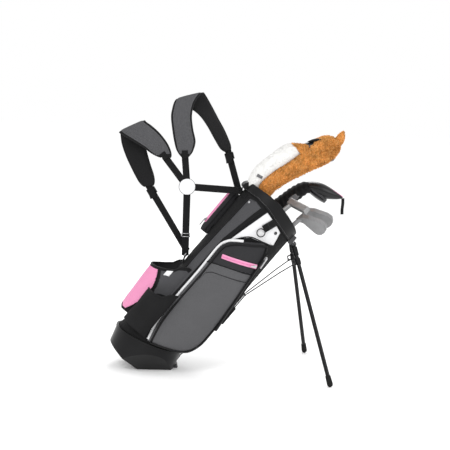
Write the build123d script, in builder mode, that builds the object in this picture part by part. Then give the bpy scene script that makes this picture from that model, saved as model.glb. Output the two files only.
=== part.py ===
from build123d import *
import os
from math import sin, cos, tan, radians, degrees, sqrt, acos, atan2

# Junior stand bag with five clubs, two head covers and a double shoulder strap.
# Row frame: +Z up, +X the way the bag leans, +Y to the far side, origin at the
# centre of the base's flat ground facet.  Bag axes: s runs up along the bag,
# n points from the spine to the belly (the leg side), y is the row's Y.

os.makedirs("parts", exist_ok=True)

# ---------------------------------------------------------------- dimensions
LEAN = 52.3            # angle of the bag's axis above the ground, degrees
NC = -37.0             # the bag axis, as n
R_TUBE = 97.0          # outside radius of the fabric tube
WALL = 2.5             # tube wall, fabric on a foam and plastic liner
R_COLLAR = 101.5       # outside radius of the moulded top collar
R_MOUTH = 94.0         # inside radius of the mouth
CUP_LEAN = 68.7        # angle of the base cup's axis above the ground
R_CUP = 102.0          # outside radius of the base cup
CUP_WALL = 4.0
HUB_N, HUB_S, HUB_Y = 75.0, 536.0, 22.0   # leg pivots
LEG_R = 6.0
FOOT_R = 8.5
FOOT_X, FOOT_DX, FOOT_Y = 482.6, 7.3, 188.3
FOLD_N, FOLD_Y = 0.030, 0.030             # direction of a folded leg
CLIP_D = 58.0          # distance of the wire clip below the leg pivot
WIRE_R = 1.7
PIN_R = 2.5
ROD_N = 68.0           # push rods, height over the bag axis' zero
ROD_Y = 10.0
ROD_TOP = 330.0
GRIP_R0, GRIP_R1, GRIP_L = 11.0, 7.5, 200.0

CU, SU = cos(radians(LEAN)), sin(radians(LEAN))


def at(n, y, s):
    """Row-frame point of bag coordinates."""
    return Vector(s * CU + n * SU, y, s * SU - n * CU)


BAG = Plane(origin=(0, 0, 0), x_dir=(SU, 0, -CU), z_dir=(CU, 0, SU))     # local n, y, s
SIDE = Plane(origin=(0, 0, 0), x_dir=(SU, 0, -CU), z_dir=(0, -1, 0))     # local n, s, towards the near side
CUP = Plane(origin=(-18, 0, 87), x_dir=(sin(radians(CUP_LEAN)), 0, -cos(radians(CUP_LEAN))),
            z_dir=(cos(radians(CUP_LEAN)), 0, sin(radians(CUP_LEAN))))


def section_plane(n, y, s, dn, dy, ds, wn=0.0, wy=1.0, ws=0.0):
    """Plane at a bag point, normal along (dn, dy, ds), local x along (wn, wy, ws)."""
    return Plane(origin=at(n, y, s), x_dir=at(wn, wy, ws), z_dir=at(dn, dy, ds))


def save(builder, name):
    builder.part.label = name
    export_step(builder.part, "parts/" + name + ".step")


# --------------------------------------------------- shared bodies, not kept
def mid_plane():
    a = radians(60.0)
    o = at(-49.5, 0, 125)
    return Plane(origin=o, x_dir=(sin(a), 0, -cos(a)), z_dir=(cos(a), 0, sin(a)))


with BuildPart() as tube_outer:
    with BuildSketch(CUP.offset(-12)):
        Circle(R_TUBE)
    extrude(amount=14)
    with BuildSketch(CUP.offset(2)):
        Circle(R_TUBE)
    with BuildSketch(mid_plane()):
        Circle(R_TUBE)
    with BuildSketch(BAG.offset(205)):
        with Locations((NC, 0)):
            Circle(R_TUBE)
    loft()
    with BuildSketch(BAG.offset(205)):
        with Locations((NC, 0)):
            Circle(R_TUBE)
    extrude(amount=420)

with BuildPart() as tube_clear:          # the tube and 0.4 mm of air, to cut neighbours with
    with BuildSketch(CUP.offset(-40)):
        Circle(R_TUBE + 0.4)
    extrude(amount=42)
    with BuildSketch(CUP.offset(2)):
        Circle(R_TUBE + 0.4)
    with BuildSketch(mid_plane()):
        Circle(R_TUBE + 0.4)
    with BuildSketch(BAG.offset(205)):
        with Locations((NC, 0)):
            Circle(R_TUBE + 0.4)
    loft()
    with BuildSketch(BAG.offset(205)):
        with Locations((NC, 0)):
            Circle(R_TUBE + 0.4)
    extrude(amount=420)

with BuildPart() as tube_inner:
    with BuildSketch(CUP.offset(-12)):
        Circle(R_TUBE - WALL)
    extrude(amount=14)
    with BuildSketch(CUP.offset(2)):
        Circle(R_TUBE - WALL)
    with BuildSketch(mid_plane()):
        Circle(R_TUBE - WALL)
    with BuildSketch(BAG.offset(205)):
        with Locations((NC, 0)):
            Circle(R_TUBE - WALL)
    loft()
    with BuildSketch(BAG.offset(205)):
        with Locations((NC, 0)):
            Circle(R_TUBE - WALL)
    extrude(amount=430)

LOWER_EDGE = [(-160, 560), (-99, 569), (-60, 564), (7, 545), (64, 532), (90, 524)]
UPPER_EDGE = [(-160, 586), (-136, 590), (-90, 595), (-47, 596), (-2, 585), (38, 573), (64, 561), (90, 548)]

with BuildPart() as below_collar:        # everything under the collar's lower edge
    with BuildSketch(SIDE):
        with BuildLine():
            Spline(*LOWER_EDGE)
            Polyline(LOWER_EDGE[-1], (90, -80), (-240, -80), (-240, 540), LOWER_EDGE[0])
        make_face()
    extrude(amount=150, both=True)

with BuildPart() as below_rim:           # everything under the rim
    with BuildSketch(SIDE):
        with BuildLine():
            Spline(*UPPER_EDGE)
            Polyline(UPPER_EDGE[-1], (90, -80), (-240, -80), (-240, 560), UPPER_EDGE[0])
        make_face()
    extrude(amount=150, both=True)

# --------------------------------------------------------------------- base
with BuildPart() as cup_hollow:
    with BuildSketch(CUP.offset(-150)):
        Circle(R_CUP - CUP_WALL)
    extrude(amount=170)
    with BuildSketch(Plane.XZ):
        with BuildLine():
            Polyline((-50, 9), (150, 9), (150, 240), (-300.5, 240), close=True)
        make_face()
    extrude(amount=130, both=True, mode=Mode.INTERSECT)
    with BuildSketch(Plane.YZ):
        with BuildLine():
            Polyline((-44, 0), (44, 0), (130, 93), (130, 300), (-130, 300), (-130, 93), close=True)
        make_face()
    extrude(amount=250, both=True, mode=Mode.INTERSECT)

with BuildPart() as base_cup:
    with BuildSketch(CUP.offset(-150)):
        Circle(R_CUP)
    extrude(amount=150)
    with BuildSketch(Plane.XZ):
        with BuildLine():
            Polyline((-52, 0), (150, 0), (150, 240), (-312.3, 240), close=True)
        make_face()
    extrude(amount=130, both=True, mode=Mode.INTERSECT)
    with BuildSketch(Plane.YZ):
        with BuildLine():
            Polyline((-48, 0), (48, 0), (134, 93), (134, 300), (-134, 300), (-134, 93), close=True)
        make_face()
    extrude(amount=250, both=True, mode=Mode.INTERSECT)
    add(cup_hollow.part, mode=Mode.SUBTRACT)
    # recess that the hinged actuator plate lies in, open towards the front
    with BuildSketch(Plane.XY):
        with Locations((59, 0)):
            Rectangle(112, 60)
    extrude(amount=7.0, mode=Mode.SUBTRACT)
    # slot in the front wall for the push rods
    with BuildSketch(Plane.XY.offset(-1)):
        with Locations((70, 0)):
            Rectangle(70, 28)
    extrude(amount=39, mode=Mode.SUBTRACT)
    # cross hole for the actuator's hinge pin
    with BuildSketch(Plane.XZ):
        with Locations((8, 3.6)):
            Circle(1.5)
    extrude(amount=37.0, both=True, mode=Mode.SUBTRACT)
    # moulded bead round the rim
    with BuildSketch(CUP.offset(-6)):
        Circle(R_CUP + 1.6)
        Circle(R_CUP, mode=Mode.SUBTRACT)
    extrude(amount=6)
save(base_cup, "base_cup")

with BuildPart() as base_actuator:
    with BuildSketch(Plane.XZ):
        with BuildLine():
            Polyline((8, 1.0), (64, 1.0), (66, 3.0), (66, 5.2), (8, 5.2), close=True)
        make_face()
    extrude(amount=27.5, both=True)
    with BuildSketch(Plane.XZ):
        with Locations((8, 3.6)):
            Circle(2.6)
    extrude(amount=27.5, both=True)
    with BuildSketch(Plane.XZ):
        with Locations((8, 3.6)):
            Circle(1.56)
    extrude(amount=40, both=True, mode=Mode.SUBTRACT)
    # raised lip that the push rods bear on
    with BuildSketch(Plane.XY.offset(5.2)):
        with Locations((60, 0)):
            Rectangle(8, 24)
    extrude(amount=2.2)
save(base_actuator, "base_actuator")

with BuildPart() as actuator_pin:
    with BuildSketch(Plane.XZ):
        with Locations((8, 3.6)):
            Circle(1.5)
    extrude(amount=36.0, both=True)
save(actuator_pin, "actuator_pin")

# --------------------------------------------------------------------- tube
with BuildPart() as bag_tube:
    add(tube_outer.part)
    add(tube_inner.part, mode=Mode.SUBTRACT)
    add(below_collar.part, mode=Mode.INTERSECT)
save(bag_tube, "bag_tube")

with BuildPart() as top_collar:
    with BuildSketch(BAG.offset(500)):
        with Locations((NC, 0)):
            Circle(R_COLLAR)
            Circle(R_MOUTH, mode=Mode.SUBTRACT)
    extrude(amount=110)
    add(below_rim.part, mode=Mode.INTERSECT)
    add(below_collar.part, mode=Mode.SUBTRACT)
    # moulded carry hump on the spine side of the rim
    with BuildSketch(SIDE):
        with BuildLine():
            Spline((-134, 566), (-148, 572), (-146, 583), (-135, 592))
            Line((-135, 592), (-134, 566))
        make_face()
    extrude(amount=26, both=True)
save(top_collar, "top_collar")

with BuildPart() as club_divider:
    # two padded bars across the mouth and one between them, four cells
    with BuildSketch(BAG.offset(548)):
        with Locations((-61, 0)):
            Rectangle(8, 2 * sqrt(93.6 ** 2 - 28 ** 2) - 1.5)
        with Locations((16, 0)):
            Rectangle(8, 2 * sqrt(93.6 ** 2 - 57 ** 2) - 1.5)
        with Locations((-22.5, 0)):
            Rectangle(77, 8)
    extrude(amount=19)
save(club_divider, "club_divider")

# ------------------------------------------------------------- side pocket
POCKET_N, POCKET_Y, POCKET_R = -22.0, -29.0, 92.5
with BuildPart() as side_pocket:
    with BuildSketch(SIDE):
        with BuildLine():
            Polyline((-84, 61), (-94, 133), (-97, 216), (-95, 307), (-97, 394), (-87, 427), (-65, 447),
                     (-3, 485), (9, 479), (32, 401), (42, 326), (49, 235), (50, 188), (54, 152),
                     (38, 121), (15, 100), (-32, 79), close=True)
        make_face()
    extrude(amount=140)
    with BuildSketch(BAG.offset(20)):
        with Locations((POCKET_N, POCKET_Y)):
            Circle(POCKET_R)
    extrude(amount=520, mode=Mode.INTERSECT)
    add(tube_clear.part, mode=Mode.SUBTRACT)
    # stay off the base cup's bead
    with BuildSketch(CUP.offset(-60)):
        Circle(R_CUP + 2.2)
    extrude(amount=61, mode=Mode.SUBTRACT)
    # clear of the underside, where the push rods and folded legs run
    with BuildSketch(SIDE.offset(0)):
        with Locations((0, 260)):
            Rectangle(300, 600)
    extrude(amount=46, mode=Mode.SUBTRACT)
save(side_pocket, "side_pocket")


# main zip, straight down the pocket's belly edge
def zip_plane(p, q, out):
    """Plane with local x along the zip from p to q and z outwards."""
    a, b = at(*p), at(*q)
    return Plane(origin=a, x_dir=(b - a), z_dir=at(*out))


SZ_A, SZ_B = (16.5, -116.0, 468.0), (51.0, -92.0, 205.0)
sza, szb = at(*SZ_A), at(*SZ_B)
sz_dir = (szb - sza).normalized()
sz_out = at(0.62, -0.785, 0.0)
sz_out = (sz_out - sz_dir * sz_out.dot(sz_dir)).normalized()
sz_len = (szb - sza).length
SZP = Plane(origin=sza + sz_out * 1.0, x_dir=sz_dir, z_dir=sz_out)
with BuildPart() as side_zip:
    with BuildSketch(SZP):
        with Locations((sz_len / 2, 0)):
            Rectangle(sz_len, 9)
    extrude(amount=1.6)
    with BuildSketch(SZP.offset(1.6)):
        with Locations((sz_len / 2, 0)):
            Rectangle(sz_len, 3.4)
    extrude(amount=0.9)
    add(side_pocket.part, mode=Mode.SUBTRACT)
save(side_zip, "side_zip")

with BuildPart() as side_slider:
    with BuildSketch(SZP.offset(2.9)):
        with Locations((12, 0)):
            RectangleRounded(11, 7.5, 2)
    extrude(amount=2.6)
    with BuildSketch(SZP.offset(5.5)):
        with Locations((13, 0)):
            RectangleRounded(5, 3, 1)
    extrude(amount=2.0)
    with BuildSketch(SZP.offset(7.5)):
        with Locations((26, 0)):
            RectangleRounded(34, 4.4, 1.5)
    extrude(amount=1.8)
save(side_slider, "side_slider")

# small pink zip across the pocket: a circular arc in a tilted plane
PZ_TILT = 23.0                 # slope of the zip's plane, degrees
PZ_R = 104.0                   # arc radius of the zip's tape
PZ_S = 405.5                   # height of the arc's middle
pzt = radians(PZ_TILT)
PZ_OUT = 5.0
pz_mid = at(POCKET_N, POCKET_Y - POCKET_R, PZ_S)            # middle of the arc, on the pocket
pz_axis = at(-sin(pzt), 0, cos(pzt)).normalized()           # normal of the arc's plane
pz_cen = pz_mid - Vector(0, -1, 0) * PZ_R                   # centre of the arc
PZP = Plane(origin=pz_cen, x_dir=(0, -1, 0), z_dir=pz_axis)
PZ_HALF = degrees(61.0 / PZ_R)
PZ_END = 24.0                  # belly end of the arc, degrees from its middle
PZ_SIGN = 1.0 if PZP.y_dir.dot(at(1, 0, 0)) > 0 else -1.0   # positive local angle turns towards +n or -n
with BuildPart() as valuables_zip:
    with BuildSketch(PZP.offset(-5.5)):
        Circle(PZ_R + 1.6)
        Circle(PZ_R + 0.2, mode=Mode.SUBTRACT)
    extrude(amount=11)
    with BuildSketch(PZP.offset(-1.7)):
        Circle(PZ_R + 2.5)
        Circle(PZ_R + 1.6, mode=Mode.SUBTRACT)
    extrude(amount=3.4)
    with BuildSketch(PZP.offset(-8)):
        with BuildLine():
            Polyline((0, 0), (220, -220 * tan(radians(PZ_HALF if PZ_SIGN > 0 else PZ_END))),
                     (220, 220 * tan(radians(PZ_END if PZ_SIGN > 0 else PZ_HALF))), close=True)
        make_face()
    extrude(amount=16, mode=Mode.INTERSECT)
    add(side_pocket.part, mode=Mode.SUBTRACT)
save(valuables_zip, "valuables_zip")

# the slider sits at the belly end of its zip
PZ_A0 = PZ_SIGN * (PZ_END - 4.0)


def arc_plane(ang, r):
    c, s_ = cos(radians(ang)), sin(radians(ang))
    radial = PZP.x_dir * c + PZP.y_dir * s_
    tang = (PZP.y_dir * c - PZP.x_dir * s_) * PZ_SIGN
    return Plane(origin=pz_cen + radial * r, x_dir=tang, z_dir=radial)


APL = arc_plane(PZ_A0, PZ_R)
with BuildPart() as valuables_slider:
    with BuildSketch(APL.offset(3.4)):
        RectangleRounded(10, 7, 2)
    extrude(amount=2.4)
    with BuildSketch(APL.offset(5.8)):
        RectangleRounded(5, 3, 1)
    extrude(amount=1.8)
    with BuildSketch(APL.offset(7.6)):
        with Locations((-6, -1), ):
            RectangleRounded(18, 4, 1.5)
    extrude(amount=1.6)
save(valuables_slider, "valuables_slider")

# ------------------------------------------------- spine pocket, far side
with BuildPart() as spine_pocket:
    with BuildSketch(BAG.offset(392)):
        with BuildLine():
            Spline((-134, 10), (-158, 6), (-156, 34), (-128, 78), (-88, 98), (-62, 92))
            Line((-62, 92), (-134, 10))
        make_face()
    extrude(amount=150)
    add(tube_clear.part, mode=Mode.SUBTRACT)
    with BuildSketch(SIDE):
        with BuildLine():
            Polyline((-170, 410), (-140, 392), (-50, 392), (-50, 545), (-140, 545), (-170, 530), close=True)
        make_face()
    extrude(amount=-150, mode=Mode.INTERSECT)
save(spine_pocket, "spine_pocket")

# pink zip along the pocket's spine edge
FZ_S0, FZ_S1 = 420.0, 532.0
FZP = Plane(origin=at(-159.4, 12.0, FZ_S0), x_dir=at(0, 0, 1), z_dir=at(-1, -0.35, 0))
with BuildPart() as spine_zip:
    with BuildSketch(FZP):
        with Locations(((FZ_S1 - FZ_S0) / 2, 0)):
            Rectangle(FZ_S1 - FZ_S0, 10)
    extrude(amount=1.5)
    with BuildSketch(FZP.offset(1.5)):
        with Locations(((FZ_S1 - FZ_S0) / 2, 0)):
            Rectangle(FZ_S1 - FZ_S0, 3.2)
    extrude(amount=0.9)
    add(spine_pocket.part, mode=Mode.SUBTRACT)
save(spine_zip, "spine_zip")

with BuildPart() as spine_slider:
    with BuildSketch(FZP.offset(2.8)):
        with Locations((7, 0)):
            RectangleRounded(10, 7, 2)
    extrude(amount=2.4)
    with BuildSketch(FZP.offset(5.2)):
        with Locations((6, 0)):
            RectangleRounded(5, 3, 1)
    extrude(amount=1.6)
    with BuildSketch(FZP.offset(6.8)):
        with Locations((-5, 0)):
            RectangleRounded(26, 4, 1.5)
    extrude(amount=1.6)
save(spine_slider, "spine_slider")

# ------------------------------------------------------ accessory pouch
with BuildPart() as pouch_hollow:
    with BuildSketch(SIDE):
        with BuildLine():
            Polyline((-120, 300), (-146, 300), (-166, 300), (-230, 300), (-201, 225), (-197, 180), (-193.5, 137),
                     (-187.5, 70), (-165, 60), (-120, 60), close=True)
        make_face()
    extrude(amount=80, both=True)
    with BuildSketch(BAG.offset(20)):
        with Locations((-120, 0)):
            Ellipse(80.8, 63)
    extrude(amount=300, mode=Mode.INTERSECT)

with BuildPart() as accessory_pouch:
    with BuildSketch(SIDE):
        with BuildLine():
            Polyline((-120, 292), (-137, 279), (-146, 262), (-166, 247), (-191, 233), (-204, 228), (-200, 180),
                     (-197, 137), (-191, 66), (-168, 55), (-120, 50), close=True)
        make_face()
    extrude(amount=80, both=True)
    with BuildSketch(BAG.offset(20)):
        with Locations((-120, 0)):
            Ellipse(84, 66)
    extrude(amount=300, mode=Mode.INTERSECT)
    add(pouch_hollow.part, mode=Mode.SUBTRACT)
    add(tube_clear.part, mode=Mode.SUBTRACT)
    with BuildSketch(CUP.offset(-60)):
        Circle(R_CUP + 2.2)
    extrude(amount=61, mode=Mode.SUBTRACT)
save(accessory_pouch, "accessory_pouch")

with BuildPart() as sleeve_hollow:
    with BuildSketch(BAG.offset(66)):
        with Locations((-117, -52)):
            Ellipse(53.6, 59.6)
    extrude(amount=240)

with BuildPart() as bottle_sleeve:
    with BuildSketch(SIDE):
        with BuildLine():
            Polyline((-100, 214), (-116, 206), (-130, 186), (-150, 178), (-174, 176), (-176, 120), (-172, 50),
                     (-96, 50), close=True)
        make_face()
    extrude(amount=130)
    with BuildSketch(BAG.offset(20)):
        with Locations((-117, -52)):
            Ellipse(56, 62)
    extrude(amount=240, mode=Mode.INTERSECT)
    add(sleeve_hollow.part, mode=Mode.SUBTRACT)
    add(tube_clear.part, mode=Mode.SUBTRACT)
    with BuildSketch(BAG.offset(20)):
        with Locations((-120, 0)):
            Ellipse(84.5, 66.5)
    extrude(amount=300, mode=Mode.SUBTRACT)
    with BuildSketch(CUP.offset(-60)):
        Circle(R_CUP + 2.2)
    extrude(amount=61, mode=Mode.SUBTRACT)
    # clear of the big pocket's edge
    add(side_pocket.part, mode=Mode.SUBTRACT)
save(bottle_sleeve, "bottle_sleeve")

# ------------------------------------------------------- towel loop and ring
LOOP_A, LOOP_B = at(-20.5, -102.4, 553), at(-33.5, -101.2, 518)
lp_dir = (LOOP_B - LOOP_A).normalized()
with BuildPart() as towel_loop:
    with BuildSketch(Plane(origin=LOOP_A, x_dir=lp_dir, z_dir=at(0, -1, 0) - lp_dir * lp_dir.dot(at(0, -1, 0)))):
        with Locations(((LOOP_B - LOOP_A).length / 2, 0)):
            Rectangle((LOOP_B - LOOP_A).length, 22)
    extrude(amount=2.4)
    add(tube_clear.part, mode=Mode.SUBTRACT)
save(towel_loop, "towel_loop")

RING_C = at(-34.0, -103.2, 503.0)      # centre of the ring
RING_P = at(-33.0, -103.2, 514.2)      # where it hangs
with BuildPart() as towel_ring:
    with BuildSketch(Plane(origin=RING_C + at(0, 0, 11.5), x_dir=at(0, 0, 1), z_dir=at(1, 0, 0))):
        Circle(1.4)
    revolve(axis=Axis(RING_C, at(0, 1, 0)), revolution_arc=360)
save(towel_ring, "towel_ring")

# --------------------------------------------------------------- leg bracket
hub = {-1: at(HUB_N, -HUB_Y, HUB_S), 1: at(HUB_N, HUB_Y, HUB_S)}
toe = {-1: Vector(FOOT_X + FOOT_DX, -FOOT_Y, 0), 1: Vector(FOOT_X - FOOT_DX, FOOT_Y, 0)}
leg_dir, fold_dir, hinge, fold_deg = {}, {}, {}, {}
for side in (-1, 1):
    leg_dir[side] = (toe[side] - hub[side]).normalized()
    fold_dir[side] = at(FOLD_N, FOLD_Y * side, -1).normalized()
    hinge[side] = leg_dir[side].cross(fold_dir[side]).normalized()
    fold_deg[side] = degrees(acos(leg_dir[side].dot(fold_dir[side])))


def pivot_plane(side):
    """Origin on the leg pivot, z along its pin, x towards the bag."""
    z = hinge[side]
    x = at(-1, 0, 0)
    x = (x - z * x.dot(z)).normalized()
    return Plane(origin=hub[side], x_dir=x, z_dir=z)


PVN, PVF = pivot_plane(-1), pivot_plane(1)
with BuildPart() as leg_bracket:
    with BuildSketch(BAG.offset(528)):
        with Locations((44, 0)):
            Rectangle(47, 84)
        with Locations((NC, 0)):
            Circle(R_COLLAR + 0.4, mode=Mode.SUBTRACT)
    extrude(amount=28)
    for pv in (PVN, PVF):
        with BuildSketch(pv.offset(-6.4)):
            Circle(7.8)
        extrude(amount=12.8, mode=Mode.SUBTRACT)
    for pv in (PVN, PVF):
        for off in (6.4, -9.4):
            with BuildSketch(pv.offset(off)):
                Circle(7.5)
                with Locations((7.5, 0)):
                    Rectangle(15, 15)
            extrude(amount=3)
    with BuildSketch(BAG.offset(500)):
        with Locations((NC, 0)):
            Circle(R_COLLAR + 0.4)
    extrude(amount=80, mode=Mode.SUBTRACT)
    for pv in (PVN, PVF):
        with BuildSketch(pv.offset(-9.4)):
            Circle(PIN_R)
        extrude(amount=18.8, mode=Mode.SUBTRACT)
        for off in (9.4, -11.6):
            with BuildSketch(pv.offset(off)):
                Circle(4.7)
            extrude(amount=2.2, mode=Mode.SUBTRACT)
save(leg_bracket, "leg_bracket")

with BuildPart() as pivot_pins:
    for pv in (PVN, PVF):
        with BuildSketch(pv.offset(-9.4)):
            Circle(PIN_R)
        extrude(amount=18.8)
        with BuildSketch(pv.offset(9.4)):
            Circle(4.2)
        extrude(amount=1.6)
        with BuildSketch(pv.offset(-9.4)):
            Circle(4.2)
        extrude(amount=-1.6)
save(pivot_pins, "pivot_pins")

with BuildPart() as bracket_rivets:
    for yy in (-38.2, 38.2):
        with BuildSketch(Plane(origin=at(67.5, yy, 542), x_dir=at(0, 1, 0), z_dir=at(1, 0, 0))):
            Circle(3.6)
        extrude(amount=1.8)
save(bracket_rivets, "bracket_rivets")


# --------------------------------------------------------------------- legs
def leg_plane(side, dist):
    """Across the leg at a distance below its pivot, x along the pivot pin."""
    return Plane(origin=hub[side] + leg_dir[side] * dist, x_dir=hinge[side], z_dir=leg_dir[side])


def ball_dist(side):
    return (hub[side].Z - FOOT_R) / -leg_dir[side].Z


with BuildPart() as leg_yoke_near:
    with BuildSketch(PVN.offset(-6.0)):
        Circle(7)
    extrude(amount=12)
    with BuildSketch(leg_plane(-1, 0)):
        Rectangle(11, 10)
    extrude(amount=13)
    with BuildSketch(leg_plane(-1, 11)):
        Circle(8)
    extrude(amount=25)
    with BuildSketch(leg_plane(-1, 16)):
        Circle(LEG_R)
    extrude(amount=30, mode=Mode.SUBTRACT)
    with BuildSketch(PVN.offset(-20)):
        Circle(PIN_R + 0.05)
    extrude(amount=40, mode=Mode.SUBTRACT)
save(leg_yoke_near, "leg_yoke_near")

with BuildPart() as leg_yoke_far:
    with BuildSketch(PVF.offset(-6.0)):
        Circle(7)
    extrude(amount=12)
    with BuildSketch(leg_plane(1, 0)):
        Rectangle(11, 10)
    extrude(amount=13)
    with BuildSketch(leg_plane(1, 11)):
        Circle(8)
    extrude(amount=25)
    with BuildSketch(leg_plane(1, 16)):
        Circle(LEG_R)
    extrude(amount=30, mode=Mode.SUBTRACT)
    with BuildSketch(PVF.offset(-20)):
        Circle(PIN_R + 0.05)
    extrude(amount=40, mode=Mode.SUBTRACT)
save(leg_yoke_far, "leg_yoke_far")

with BuildPart() as leg_near:
    with BuildSketch(leg_plane(-1, 16)):
        Circle(LEG_R)
        Circle(LEG_R - 1.2, mode=Mode.SUBTRACT)
    extrude(amount=ball_dist(-1) - 28)
save(leg_near, "leg_near")

with BuildPart() as leg_far:
    with BuildSketch(leg_plane(1, 16)):
        Circle(LEG_R)
        Circle(LEG_R - 1.2, mode=Mode.SUBTRACT)
    extrude(amount=ball_dist(1) - 28)
save(leg_far, "leg_far")

with BuildPart() as foot_near:
    with BuildSketch(leg_plane(-1, ball_dist(-1) - 24)):
        Circle(7.6)
    with BuildSketch(leg_plane(-1, ball_dist(-1))):
        Circle(FOOT_R)
    loft()
    with Locations(hub[-1] + leg_dir[-1] * ball_dist(-1)):
        Sphere(FOOT_R)
    with BuildSketch(leg_plane(-1, ball_dist(-1) - 30)):
        Circle(LEG_R)
    extrude(amount=18, mode=Mode.SUBTRACT)
save(foot_near, "foot_near")

with BuildPart() as foot_far:
    with BuildSketch(leg_plane(1, ball_dist(1) - 24)):
        Circle(7.6)
    with BuildSketch(leg_plane(1, ball_dist(1))):
        Circle(FOOT_R)
    loft()
    with Locations(hub[1] + leg_dir[1] * ball_dist(1)):
        Sphere(FOOT_R)
    with BuildSketch(leg_plane(1, ball_dist(1) - 30)):
        Circle(LEG_R)
    extrude(amount=18, mode=Mode.SUBTRACT)
save(foot_far, "foot_far")

# ------------------------------------------------ wire clips on the legs
EYE_OFF = 14.0         # eye centre, off the leg's axis towards the bag


def clip_plane(side):
    """Origin on the leg at the clip, x towards the bag, y up the leg, z along the pivot pin."""
    return Plane(origin=hub[side] + leg_dir[side] * CLIP_D, x_dir=hinge[side].cross(leg_dir[side]),
                 z_dir=hinge[side])


CLN, CLF = clip_plane(-1), clip_plane(1)
EYE = {-1: CLN.origin + CLN.x_dir * EYE_OFF, 1: CLF.origin + CLF.x_dir * EYE_OFF}
sgn_n = 1.0 if CLN.y_dir.dot(leg_dir[-1]) < 0 else -1.0    # local y sign that points at the hub
sgn_f = 1.0 if CLF.y_dir.dot(leg_dir[1]) < 0 else -1.0

with BuildPart() as wire_clip_near:
    with BuildSketch(leg_plane(-1, CLIP_D - 13)):
        Circle(8.2)
        Circle(LEG_R, mode=Mode.SUBTRACT)
    extrude(amount=18)
    with BuildSketch(CLN.offset(-1.5)):
        with Locations((12.0, 4.0 * sgn_n)):
            RectangleRounded(13.4, 19, 3)
        with Locations((12.6, 4.0 * sgn_n)):
            RectangleRounded(8.2, 13.6, 2.5, mode=Mode.SUBTRACT)
    extrude(amount=3)
    with BuildSketch(leg_plane(-1, CLIP_D - 20)):
        Circle(LEG_R)
    extrude(amount=40, mode=Mode.SUBTRACT)
save(wire_clip_near, "wire_clip_near")

with BuildPart() as wire_clip_far:
    with BuildSketch(leg_plane(1, CLIP_D - 13)):
        Circle(8.2)
        Circle(LEG_R, mode=Mode.SUBTRACT)
    extrude(amount=18)
    with BuildSketch(CLF.offset(-1.5)):
        with Locations((12.0, 4.0 * sgn_f)):
            RectangleRounded(13.4, 19, 3)
        with Locations((12.6, 4.0 * sgn_f)):
            RectangleRounded(8.2, 13.6, 2.5, mode=Mode.SUBTRACT)
    extrude(amount=3)
    with BuildSketch(leg_plane(1, CLIP_D - 20)):
        Circle(LEG_R)
    extrude(amount=40, mode=Mode.SUBTRACT)
save(wire_clip_far, "wire_clip_far")

# ------------------------------------------------------------- push rods
rod_top = {-1: at(ROD_N, -ROD_Y, ROD_TOP), 1: at(ROD_N, ROD_Y, ROD_TOP)}
rod_bend = at(ROD_N, 0, 207)
rod_pts = [rod_top[-1], Vector(rod_bend.X, -ROD_Y, rod_bend.Z), Vector(130, -ROD_Y, 79), Vector(75, -ROD_Y, 38),
           Vector(57, -ROD_Y, 11), Vector(57, ROD_Y, 11), Vector(75, ROD_Y, 38), Vector(130, ROD_Y, 79),
           Vector(rod_bend.X, ROD_Y, rod_bend.Z), rod_top[1]]
with BuildPart() as actuator_rod:
    with BuildLine() as rod_line:
        FilletPolyline(*rod_pts, radius=5)
    with BuildSketch(Plane(origin=rod_top[-1], z_dir=at(0, 0, -1))):
        Circle(WIRE_R)
    sweep(path=rod_line.line)
    for side in (-1, 1):
        with Locations(rod_top[side]):
            Sphere(3.2)
save(actuator_rod, "actuator_rod")

with BuildPart() as rod_guide:
    with BuildSketch(BAG.offset(222)):
        with Locations((66, 0)):
            Rectangle(13, 34)
    extrude(amount=60)
    add(tube_clear.part, mode=Mode.SUBTRACT)
    with BuildSketch(BAG.offset(215)):
        with Locations((ROD_N, -ROD_Y), (ROD_N, ROD_Y)):
            Circle(WIRE_R + 0.35)
    extrude(amount=80, mode=Mode.SUBTRACT)
save(rod_guide, "rod_guide")

WIRE_SAG = 1.5
WIRE_SIDE = 3.7        # the wire runs this far beside the clip's plate, then hooks through it


def wire_points(side):
    a = rod_top[side]
    b = EYE[side] - hinge[side] * (side * WIRE_SIDE)
    d = (b - a).normalized()
    mid = a + (b - a) * 0.72 - at(1, 0, 0) * WIRE_SAG
    return [a + d * 4.1, mid, b, EYE[side] + hinge[side] * (side * 2.6)]


with BuildPart() as push_wire_near:
    wp = wire_points(-1)
    with BuildLine() as wire_line_n:
        FilletPolyline(*wp, radius=2.2)
    with BuildSketch(Plane(origin=wp[0], z_dir=wp[1] - wp[0])):
        Circle(WIRE_R)
    sweep(path=wire_line_n.line)
save(push_wire_near, "push_wire_near")

with BuildPart() as push_wire_far:
    wp = wire_points(1)
    with BuildLine() as wire_line_f:
        FilletPolyline(*wp, radius=2.2)
    with BuildSketch(Plane(origin=wp[0], z_dir=wp[1] - wp[0])):
        Circle(WIRE_R)
    sweep(path=wire_line_f.line)
save(push_wire_far, "push_wire_far")

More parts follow.
